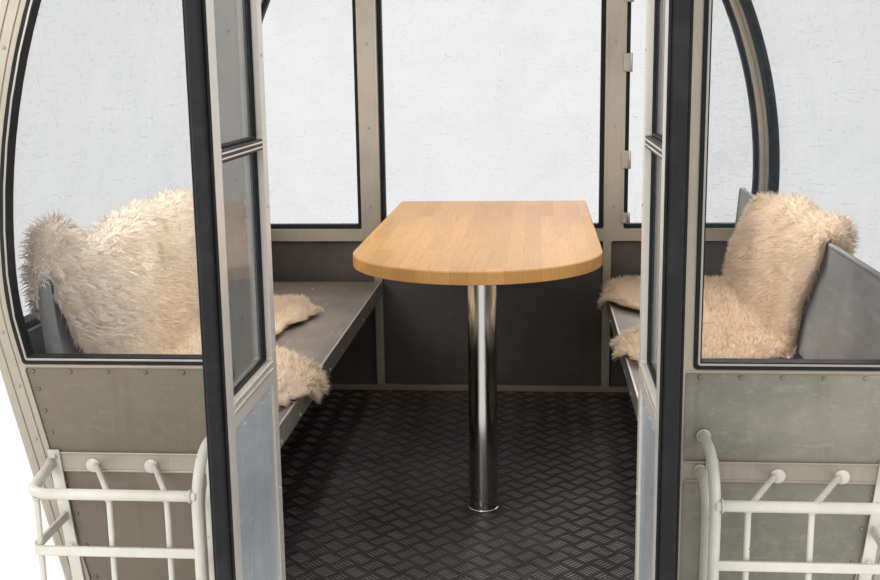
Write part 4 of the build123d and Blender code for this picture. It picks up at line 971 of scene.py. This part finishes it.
class GONDOLA_OT_bench_fittings(GondolaOperator):
    """Screws and edge caps of the benches and backrests, and hinges on the right vent window"""
    bl_idname = "gondola.bench_fittings"
    bl_label = "Bench Fittings"

    def execute(self, context):
        screws, caps, hinges = Shape(), Shape(), Shape()
        bracket = rounded([(0.834, 0.425), (0.866, 0.425), (0.893, 0.715), (0.880, 0.742), (0.860, 0.746)],
                          0.008, 4)
        for _, flip in SIDES:
            for y in spaced(-0.80, 0.80, 0.20):
                screws.screw((flip * 0.395, y, up(0.372)), (-flip, 0, 0), 0.0052)
            for y in spaced(-0.72, 0.72, 0.24):
                screws.screw((flip * 0.62, y, up(0.410)), SKYWARD, 0.0055)
            # Rounded cap on the backrest's top edge, and a bent bracket at each end
            caps.tube([(flip * 0.868, y, up(0.7365)) for y in (-0.862, 0.862)], 0.0072, sides=12)
            for y, out in ((-0.862, -1), (0.862, 1)):
                for z in (0.50, 0.68):
                    x = 0.838 + (z - 0.432) / 0.303 * 0.024
                    screws.screw((flip * (x - 0.0002), y - out * 0.03, up(z)), (-flip, 0, 0.08), 0.0055)
                caps.plate(bracket[::flip * out], lambda a, b, h: (flip * a, y + out * (h + 0.0006), up(b)),
                           0.0012, 0.004)
            # Bolts along the underside rail
            for y in (-0.62, 0.0, 0.62):
                for x in (0.44, 0.74):
                    screws.bolt((flip * x, y - 0.0035, up(0.365)), DOORWARD, 0.0055)
        # Small hinges and clips down the side of the right vent window
        for z, half in ((0.637, 0.019), (0.842, 0.031), (1.174, 0.031), (1.394, 0.019)):
            hinges.block((0.457, INNER - 0.0045, up(z - half)), (0.479, INNER + 0.0006, up(z + half)))
            tall = 2 * half
            hinges.turn((0.4825, INNER - 0.0055, up(z - half - 0.001)), SKYWARD,
                        ((0.0042, 0.0), (0.0050, 0.001), (0.0050, tall + 0.001), (0.0042, tall + 0.002)), 12)
            for dz in (0.007 - half, half - 0.007):
                hinges.screw((0.466, INNER - 0.0045, up(z + dz)), DOORWARD, 0.0032)
        self.put(screws, "bench_screws", "cabin", "galvanised")
        self.put(caps, "backrest_caps", "cabin", "backrest_plate")
        self.put(hinges, "window_hinges", "cabin", "edge_strip")
        return {"FINISHED"}


class GONDOLA_OT_table_fittings(GondolaOperator):
    """Flanges and screws of the table's leg, and bolts of its cleat on the back wall"""
    bl_idname = "gondola.table_fittings"
    bl_label = "Table Fittings"

    def execute(self, context):
        metal = Shape()
        metal.turn((*TABLE_LEG, FLOOR_Z), SKYWARD,
                   ((0.0415, 0.0), (0.0415, 0.0024), (0.0405, 0.0036), (0.0385, 0.0040)), 48)
        metal.turn((*TABLE_LEG, up(0.668)), DOWNWARD,
                   ((0.058, -0.0002), (0.058, 0.0028), (0.0565, 0.0042), (0.0435, 0.005), (0.0405, 0.012),
                    (0.0385, 0.020), (0.0380, 0.020)), 48)
        x, y = TABLE_LEG
        for a in (pi / 6 + turn for turn in turns(6)):
            metal.screw((x + 0.0505 * cos(a), y + 0.0505 * sin(a), up(0.6638)), DOWNWARD, 0.0040)
        for x in (-0.20, -0.07, 0.07, 0.20):
            metal.bolt((x, 0.848, up(0.653)), DOORWARD, 0.0055)
        self.put(metal, "leg_flanges", "cabin", "chromed")
        return {"FINISHED"}


class GONDOLA_OT_rack_fittings(GondolaOperator):
    """Weld beads, wall lugs, bolts and tray ribs of the two ski racks"""
    bl_idname = "gondola.rack_fittings"
    bl_label = "Rack Fittings"

    def execute(self, context):
        bead = context.scene.gondola_sizes.bead * 0.8
        rail_y = -HALF_DEPTH - 0.175
        for name, flip in SIDES:
            welds, bolts = Shape(), Shape()
            collars = [((0.5075, rail_y, 0.364), (1, 0, 0), 0.0105)]
            collars += [((x, rail_y + 0.004, z), SKYWARD, 0.0062) for x in (0.818, 0.556, 0.672)
                        for z in (0.3535, -0.0285)]
            collars += [((x, -HALF_DEPTH - 0.001, z), BACKWARD, 0.0115)
                        for x, z in ((0.495, 0.442), (0.491, 0.368), (0.859, 0.364))]
            for (x, y, z), axis, radius in collars:
                welds.ring((flip * x, y, up(z)), axis, radius, bead, 16)
            # Round tabs where the dividers meet the wall, and bolts down the two flat bars
            for x in (0.644, 0.770):
                bolts.turn((flip * x, -HALF_DEPTH + 0.0006, up(0.360)), DOORWARD,
                           ((0.0155, 0.0), (0.0155, 0.0024), (0.0145, 0.0034)), 20)
            for z in (-0.018, 0.075, 0.180, 0.300, 0.382):
                for x in (0.513, 0.850 + (z - 0.364) * 0.5 * tan(LEAN)):
                    bolts.bolt((flip * x, -HALF_DEPTH - 0.005, up(z)), DOORWARD, 0.0062)
            # Pressed ribs across the tray, and its front lip
            for n in range(6):
                x = flip * (0.54 + 0.048 * n)
                welds.strip([(x, y, up(-0.030)) for y in (-1.080, -0.945)], 0.012, 0.0022, SKYWARD)
            welds.strip([(flip * x, -1.1075, up(-0.030)) for x in (0.50, 0.825)], 0.004, 0.006, SKYWARD)
            self.put(welds, f"rack_welds_{name}", "cabin", "rack_paint")
            self.put(bolts, f"rack_lugs_{name}", "cabin", "rack_paint")
        return {"FINISHED"}


class GONDOLA_OT_hanger_fittings(GondolaOperator):
    """Bolts and weld beads of the hanger and its roof frame, rings of its eye and of the dampers"""
    bl_idname = "gondola.hanger_fittings"
    bl_label = "Hanger Fittings"

    def execute(self, context):
        steel, rubber = Shape(), Shape()
        for side in (-1, 1):
            x = side * DAMPER_X
            for y in (-DAMPER_Y, DAMPER_Y):
                for z in (PAD_Z + 0.0052, BEAM_Z - 0.0052, (PAD_Z + BEAM_Z) / 2):
                    rubber.ring((x, y, z), SKYWARD, 0.038, 0.0042, 32)
                steel.bolt((x, y, BEAM_Z + 0.050), SKYWARD, 0.013, tail=0.012)
                for dx in (-0.041, 0.041):
                    for dy in (-0.041, 0.041):
                        steel.bolt((x + dx, y + dy, PAD_Z), SKYWARD, 0.0062)
            for y in (-0.07, 0.07):
                for dz in (0.012, 0.038):
                    steel.bolt((x + side * 0.030, y, BEAM_Z + dz), (side, 0, 0), 0.0075)
                steel.tube([(side * 0.27, y + dy, BEAM_Z + 0.050) for dy in (-0.029, 0.029)], 0.0035)
        # Socket of the hanger: four bolts round it, and the beads over and under it
        for a in turns(4):
            c, s = cos(a + pi / 8), sin(a + pi / 8)
            steel.bolt((0.066 * c, 0.066 * s, up(2.082)), (c, s, 0), 0.0075)
        for radius, z in ((0.0445, up(2.110)), (0.066, BEAM_Z + 0.050)):
            steel.tube([(radius * cos(a), radius * sin(a), z) for a in turns(36)], 0.0045, SKYWARD, True, 6)
        # Eye of the hanger: thrust rings and grease nipple
        for y, out in ((-0.216, -1), (-0.148, 1)):
            steel.turn((0, y, EYE_Z), (0, out, 0),
                       ((0.044, -0.0005), (0.044, 0.002), (0.034, 0.0034), (0.0345, 0.0034)), 32)
        steel.turn((0.0, -0.182, -0.0252), SKYWARD,
                   ((0.006, -0.003), (0.006, 0.004), (0.0035, 0.005), (0.0035, 0.009), (0.0022, 0.0115)))
        self.put(steel, "hanger_bolts", "cabin", "galvanised")
        self.put(rubber, "damper_rings", "cabin", "rubber")
        return {"FINISHED"}


class GONDOLA_OT_grip_fittings(GondolaOperator):
    """Bolts of the rope grip, and tyre ribs, screws and axle caps of its wheels"""
    bl_idname = "gondola.grip_fittings"
    bl_label = "Grip Fittings"

    def execute(self, context):
        steel = Shape()
        for out in (-1, 1):
            steel.bolt((out * 0.118, -0.062, -0.038), (out, 0, 0), 0.0095)
            for y, z in ((-0.085, 0.135), (-0.175, 0.148), (-0.115, 0.02), (-0.075, 0.085)):
                steel.bolt((out * 0.112, y, z), (out, 0, 0), 0.0068)
            steel.bolt((out * 0.066, -0.172, 0.166), SKYWARD, 0.0085)
            for x in (0.03, 0.085):
                steel.bolt((out * x, -0.125, -0.050), DOORWARD, 0.0068)
            for x in (0.06, 0.18):
                for y in (-0.135, -0.055):
                    steel.screw((out * x, y, 0.166), DOWNWARD, 0.008)
        steel.bolt((0, -0.232, EYE_Z), DOORWARD, 0.015, tail=0.006)
        self.put(steel, "grip_bolts", "grip", "galvanised")
        for name, flip in (("rear", -1), ("front", 1)):
            tyre, screws, cap = Shape(), Shape(), Shape()
            x = flip * AXLE_X
            for y in (-0.0265, -0.0400, -0.0535):
                tyre.ring((x, y, AXLE_Z), BACKWARD, 0.0526, 0.0032, 40)
            for a in turns(6):
                for y, out in ((-0.028, 1), (-0.052, -1)):
                    screws.bolt((x + 0.034 * cos(a), y, AXLE_Z + 0.034 * sin(a)), (0, out, 0), 0.0042, False)
            cap.turn((x, -0.0155, AXLE_Z), BACKWARD,
                     ((0.0165, -0.001), (0.0165, 0.0018), (0.013, 0.003), (0.004, 0.003)), 20)
            self.put(tyre, f"wheel_ribs_{name}", f"wheel_{name}", "wheel_plastic")
            self.put(screws, f"wheel_screws_{name}", f"wheel_{name}", "galvanised")
            self.put(cap, f"axle_cap_{name}", "grip", "galvanised")
        return {"FINISHED"}


# Section that a fleece lies on, from behind the backrest over its top to the front of the seat
LAY = ((0.886, 0.634), (0.886, 0.742), (0.874, 0.7525), (0.860, 0.747), (0.8545, 0.715), (0.8365, 0.470),
       (0.829, 0.4225), (0.800, 0.4165), (0.700, 0.4160), (0.500, 0.4160), (0.405, 0.4160), (0.3915, 0.4105),
       (0.3895, 0.381))
# Each fleece: its side; edges as distance along the section, low Y, high Y; how far each part of its front
# reaches, as share of its width and distance; and how high it is bunched over the backrest, as Y and height
FLEECES = {
    "left_door": (
        -1,
        ((0.00, -0.862, -0.30), (0.12, -0.866, -0.10), (0.17, -0.862, -0.08), (0.21, -0.835, -0.08),
         (0.27, -0.805, -0.10), (0.34, -0.76, -0.12), (0.40, -0.69, -0.12), (0.52, -0.58, -0.12),
         (0.68, -0.56, -0.16), (0.79, -0.68, -0.22), (0.86, -0.715, -0.27), (0.92, -0.72, -0.30)),
        ((0.0, 0.870), (0.22, 0.890), (0.5, 0.912), (0.80, 0.915), (0.92, 0.855), (1.0, 0.780)),
        ((-0.86, 0.095), (-0.74, 0.105), (-0.63, 0.040), (-0.54, 0.020), (-0.42, 0.050), (-0.10, 0.075)),
    ),
    "left_back": (
        -1,
        ((0.00, -0.18, 0.42), (0.12, -0.22, 0.47), (0.20, -0.22, 0.50), (0.40, -0.20, 0.46),
         (0.55, -0.20, 0.48), (0.72, -0.18, 0.50), (0.92, -0.16, 0.50)),
        ((0.0, 0.690), (0.18, 0.700), (0.40, 0.715), (0.58, 0.745), (0.72, 0.765),
         (0.86, 0.735), (1.0, 0.690)),
        ((-0.22, 0.050), (0.10, 0.060), (0.30, 0.035), (0.50, 0.015)),
    ),
    "right_door": (
        1,
        ((0.00, -0.36, 0.10), (0.12, -0.360, 0.14), (0.18, -0.345, 0.15), (0.24, -0.30, 0.14),
         (0.30, -0.245, 0.13), (0.36, -0.205, 0.13), (0.48, -0.20, 0.13), (0.62, -0.26, 0.13),
         (0.78, -0.34, 0.14), (0.92, -0.36, 0.14)),
        ((0.0, 0.840), (0.20, 0.885), (0.45, 0.905), (0.70, 0.890), (0.85, 0.825), (1.0, 0.770)),
        ((-0.37, 0.018), (-0.28, 0.034), (-0.18, 0.016), (-0.10, 0.002), (0.02, 0.014), (0.14, 0.012)),
    ),
    "right_back": (
        1,
        ((0.00, 0.02, 0.46), (0.12, -0.020, 0.500), (0.17, -0.010, 0.560), (0.27, 0.02, 0.725),
         (0.36, 0.05, 0.845), (0.55, 0.05, 0.845), (0.70, 0.02, 0.850), (0.92, 0.02, 0.850)),
        ((0.0, 0.740), (0.20, 0.760), (0.38, 0.810), (0.54, 0.895), (0.72, 0.912),
         (0.90, 0.885), (1.0, 0.850)),
        ((-0.02, 0.010), (0.08, 0.034), (0.20, 0.030), (0.34, 0.006), (0.44, 0.0), (0.86, 0.0)),
    ),
}


def smooth_line(points, rounds=3):
    """Line through points with its corners cut off."""
    line = np.array(points, float)
    for _ in range(rounds):
        cut = np.empty((2 * len(line) - 2, line.shape[1]))
        cut[0::2] = line[:-1] * 0.75 + line[1:] * 0.25
        cut[1::2] = line[:-1] * 0.25 + line[1:] * 0.75
        line = np.vstack((line[:1], cut, line[-1:]))
    return line


def unit(vectors):
    """The vectors at length 1."""
    return vectors / (np.linalg.norm(vectors, axis=-1, keepdims=True) + TINY)


def ripples(u, v, seed, count=7):
    """Smooth random field over two coordinates in metres, about from -1 to 1."""
    rng = np.random.default_rng(seed)
    total = np.zeros_like(u)
    for _ in range(count):
        angle, rate, phase = rng.uniform(0, 2 * pi), rng.uniform(9, 34), rng.uniform(0, 2 * pi)
        wave = np.sin((u * cos(angle) + v * sin(angle)) * rate + phase)
        total += wave * rng.uniform(0.4, 1.0) * (14 / rate)
    return total / (count * 0.45)


def hide_grid(name, rows=72, columns=64):
    """Points and outward directions of a fleece's hide, as rows along the section and columns along Y."""
    flip, edges, front, bunch = FLEECES[name]
    bunch = np.array(bunch)
    seed = sorted(FLEECES).index(name) + 3
    line = smooth_line(LAY)
    steps = np.diff(line, axis=0)
    walked = np.concatenate(([0], np.cumsum(np.hypot(*steps.T))))
    a, b = np.meshgrid(np.linspace(0, 1, rows), np.linspace(0, 1, columns), indexing="ij")
    # The front reaches are given on a walk of 0.93 m, and the hide starts and ends along wavy lines
    reach = np.interp(b, *smooth_line(front, 2).T) * (walked[-1] / 0.93)
    reach += 0.010 * np.sin(b * 23 + seed) + 0.006 * np.sin(b * 51 + 2 * seed)
    start = 0.012 * (1 + np.sin(b * 17 + seed))
    s = np.clip(start + a * (reach - start), 0, walked[-1])
    curve = smooth_line(edges, 2).T
    wobble = 0.008 * np.sin(s * 31 + seed) + 0.006 * np.sin(s * 67 + 3 * seed)
    low, high = np.interp(s, curve[0], curve[1]) + wobble, np.interp(s, curve[0], curve[2]) - wobble
    # Rounded corners, so that the hide ends in lobes
    ends = 0.10 * np.clip(1 - np.minimum(a, 1 - a) / 0.07, 0, 1) ** 2
    y = low + (high - low) * (b * (1 - 2 * ends) + ends)
    x, z = (np.interp(s, walked, part) for part in line.T)
    slope_x, slope_z = (np.interp(s, walked[:-1], part / np.diff(walked)) for part in steps.T)
    # Out of the section: to the left of the walk from the back to the front
    out_x, out_z = slope_z, -slope_x
    # Loose folds stand off what the hide lies on; none dips into it
    fold = 0.5 + 0.5 * ripples(s, y, seed)
    lift = 0.004 + 0.011 * np.clip(fold, 0, 1) ** 2
    # Over the backrest it is bunched up and out to the wall, and closes at both of its sides
    closed = np.clip(np.minimum(b, 1 - b) * (high - low) / 0.055, 0, 1) ** 0.5
    heap = np.interp(y, bunch[:, 0], bunch[:, 1]) * np.exp(-((s - 0.135) / 0.070) ** 2) * closed
    roll = 0.034 * np.exp(-((s - 0.10) / 0.055) ** 2) * closed
    lift *= np.clip((s - 0.02) / 0.1, 0.15, 1) * (0.25 + 0.75 * closed)
    points = np.stack((flip * (x + out_x * lift + roll), y, FLOOR_Z + z + out_z * lift + heap), axis=-1)
    normal = unit(np.cross(np.gradient(points, axis=1), np.gradient(points, axis=0)) * flip)
    facing = np.stack((flip * out_x, np.zeros_like(out_x), out_z), axis=-1)
    return points, normal * np.where((normal * facing).sum(-1, keepdims=True) < 0, -1, 1)


def hide_shape(points, normal, thick=0.0035):
    """Closed sheet from a hide's grid, with its skin side on the bench, and the sheet's area."""
    rows, columns = points.shape[:2]
    count = rows * columns
    quads = []
    for k in (r * columns + c for r in range(rows - 1) for c in range(columns - 1)):
        quads.append((k + count, k + 1 + count, k + columns + 1 + count, k + columns + count))
        quads.append((k, k + columns, k + columns + 1, k + 1))
    # Once round the grid, to close the sheet's rim
    number = np.arange(count).reshape(rows, columns)
    rim = np.concatenate((number[0], number[1:, -1], number[-1, -2::-1], number[-2:0:-1, 0])).tolist()
    quads += [(first, second, second + count, first + count) for first, second in zip(rim, rim[1:] + rim[:1])]
    shape = Shape()
    shape.add(np.stack((points, points + normal * thick)).reshape(-1, 3).tolist(), quads, True)
    steps = np.cross(points[1:, :-1] - points[:-1, :-1], points[:-1, 1:] - points[:-1, :-1])
    return shape, float(np.linalg.norm(steps, axis=-1).sum())


def wool_piece(name, points, normal, count, pile, seed):
    """Wool of a fleece: ribbons that lean together in locks, thick at the root and fine at the tip."""
    rng = np.random.default_rng(seed)
    rows, columns = points.shape[:2]
    a, b = rng.random(count), rng.random(count)
    # Some of the wool is gathered along the front and both sides
    rim = rng.random(count) < 0.16
    side = rng.integers(0, 3, count)
    a = np.where(rim & (side == 0), 1 - 0.03 * a ** 2, a)
    b = np.where(rim & (side == 1), 0.03 * b ** 2, np.where(rim & (side == 2), 1 - 0.03 * b ** 2, b))
    r, c = a * (rows - 1), b * (columns - 1)
    r0, c0 = np.minimum(r.astype(int), rows - 2), np.minimum(c.astype(int), columns - 2)
    fr, fc = (r - r0)[:, None], (c - c0)[:, None]

    def at(grid):
        """A grid's value at each root."""
        near, far = (grid[r0 + n, c0] * (1 - fc) + grid[r0 + n, c0 + 1] * fc for n in (0, 1))
        return near * (1 - fr) + far * fr

    root, out = at(points), unit(at(normal))
    down, across = (unit(at(np.gradient(points, axis=axis))) for axis in (0, 1))

    def patches(width):
        """Number of the small patch that each root lies in, and the middle of its patch."""
        bent = np.column_stack((np.sin(root[:, 1] * 70), np.sin(root[:, 0] * 60), np.zeros(count)))
        cell = np.floor((root + 0.3 * width * bent) / width).astype(int)
        patch = np.unique(cell, axis=0, return_inverse=True)[1].ravel()
        held = np.bincount(patch)
        return patch, np.stack([np.bincount(patch, part) / held for part in root.T], axis=1)[patch]

    # Locks: neighbours share a lean and a length, and each lock and each puff of locks is domed
    lock, middle = patches(0.020)
    puff, heart = patches(0.062)
    wild = rng.normal(0, 1, (lock.max() + 1, 3))[lock]
    tall = rng.uniform(0.86, 1.0, lock.max() + 1)[lock] * rng.uniform(0.85, 1.0, puff.max() + 1)[puff]
    swirl = 2.2 * ripples(root[:, 1], root[:, 0] + root[:, 2], seed + 40)[:, None]
    comb = across * np.cos(swirl) + down * np.sin(swirl)
    edge_b = (np.clip((np.abs(2 * b - 1) - 0.90) / 0.10, 0, 1) * np.sign(2 * b - 1))[:, None]
    edge_a = np.clip((a - 0.95) / 0.05, 0, 1)[:, None]
    fall = np.array((0.0, 0.0, -1.0))
    lean = unit(out * 0.62 + comb * 0.16 + wild * 0.12 + rng.normal(0, 0.42, (count, 3)) + fall * 0.18
                + across * edge_b * 0.55 + down * edge_a * 0.8)
    lean = unit(lean + out * np.clip(0.25 - (lean * out).sum(1), 0, 1)[:, None])
    length = (pile * tall * rng.uniform(0.70, 1.0, count) * np.where(a < 0.05, 0.5, 1.0))[:, None]
    facing = out - lean * (out * lean).sum(1, keepdims=True) + rng.normal(0, 0.25, (count, 3))
    width_way = unit(np.cross(lean, facing))
    bend = unit(np.cross(lean, rng.normal(0, 1, (count, 3))))
    outward = unit(out + (root - middle) * 12 + (root - heart) * 10)

    # Each ribbon has three pairs of corners and a tip
    verts, share = np.empty((count, 7, 3), np.float32), np.zeros((count, 7), np.float32)
    for k, (h, half) in enumerate(((0.0, 0.00130), (0.36, 0.00117), (0.72, 0.000715), (1.0, 0.0))):
        along = (root + lean * length * h + (middle - root) * (0.16 * h ** 1.4)
                 + fall * (0.16 * length * h ** 2) + bend * (0.16 * length * np.sin(h * 3.4)))
        verts[:, 2 * k], share[:, 2 * k] = along - width_way * half, h
        if k < 3:
            verts[:, 2 * k + 1], share[:, 2 * k + 1] = along + width_way * half, h
    first = (np.arange(count) * 7)[:, None]
    quads = np.stack([first + np.array(q) for q in ((0, 1, 3, 2), (2, 3, 5, 4))], axis=1).reshape(-1, 4)
    corners = np.concatenate((quads.reshape(-1), (first + np.array((4, 5, 6))).reshape(-1)))
    starts = np.concatenate((np.arange(len(quads)) * 4, len(quads) * 4 + np.arange(count) * 3))
    mesh = bpy.data.meshes.new(name)
    mesh.vertices.add(count * 7)
    mesh.vertices.foreach_set("co", verts.reshape(-1))
    mesh.loops.add(len(corners))
    mesh.loops.foreach_set("vertex_index", corners.astype(np.int32))
    mesh.polygons.add(len(starts))
    mesh.polygons.foreach_set("loop_start", starts.astype(np.int32))
    mesh.update(calc_edges=True)
    mesh.polygons.foreach_set("use_smooth", np.ones(len(starts), bool))
    mesh.attributes.new("length", "FLOAT", "POINT").data.foreach_set("value", share.reshape(-1))
    mesh.attributes.new("outward", "FLOAT_VECTOR", "POINT").data.foreach_set(
        "vector", np.repeat(outward, 7, axis=0).astype(np.float32).reshape(-1))
    mesh.materials.append(finish_of("fleece"))
    piece = bpy.data.objects.new(name, mesh)
    bpy.context.scene.collection.objects.link(piece)
    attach(piece, "cabin")
    return piece


class GONDOLA_OT_fleeces(GondolaOperator):
    """Four sheepskins over the benches: a thin hide in loose folds, and its long wool in locks"""
    bl_idname = "gondola.fleeces"
    bl_label = "Fleeces"

    def execute(self, context):
        size = context.scene.gondola_sizes
        # A sheepskin's length along its back
        length = 0.95
        for n, name in enumerate(FLEECES):
            side = name.split("_")[0]
            points, normal = hide_grid(name)
            shape, area = hide_shape(points, normal)
            hide = self.put(shape, f"hide_{name}", "cabin", "fleece")
            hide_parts(f"fleece_{side}")
            count = size.locks
            wool = wool_piece(f"wool_{name}", points + normal * 0.003, normal, count, size.pile, 11 + 7 * n)
            width = float(points[..., 1].max() - points[..., 1].min())
            round(min(area, width * length), 4)
        return {"FINISHED"}


OPERATORS = (GONDOLA_OT_stage, GONDOLA_OT_finishes, GONDOLA_OT_rivets, GONDOLA_OT_trims,
             GONDOLA_OT_leaf_fittings, GONDOLA_OT_tread, GONDOLA_OT_bench_fittings,
             GONDOLA_OT_table_fittings, GONDOLA_OT_rack_fittings, GONDOLA_OT_hanger_fittings,
             GONDOLA_OT_grip_fittings, GONDOLA_OT_fleeces)


class GONDOLA_PT_panel(bpy.types.Panel):
    """Sidebar panel with the cabin's pieces, sizes and colours"""
    bl_idname = "GONDOLA_PT_panel"
    bl_label = "Gondola Cabin"
    bl_space_type = "VIEW_3D"
    bl_region_type = "UI"
    bl_category = "Gondola"

    def draw(self, context):
        for operator in OPERATORS:
            self.layout.operator(operator.bl_idname, text=operator.bl_label)
        for group in (context.scene.gondola_sizes, context.scene.gondola_colours):
            box = self.layout.box()
            for key in group.__annotations__:
                box.prop(group, key)


CLASSES = (GondolaSizes, GondolaColours, *OPERATORS, GONDOLA_PT_panel)


def register():
    for kind in CLASSES:
        bpy.utils.register_class(kind)
    bpy.types.Scene.gondola_sizes = bpy.props.PointerProperty(type=GondolaSizes)
    bpy.types.Scene.gondola_colours = bpy.props.PointerProperty(type=GondolaColours)


def unregister():
    del bpy.types.Scene.gondola_sizes
    del bpy.types.Scene.gondola_colours
    for kind in reversed(CLASSES):
        bpy.utils.unregister_class(kind)


def main():
    """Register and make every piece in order."""
    register()
    for operator in OPERATORS:
        group, name = operator.bl_idname.split(".")
        getattr(getattr(bpy.ops, group), name)()


if __name__ == "__main__":
    main()
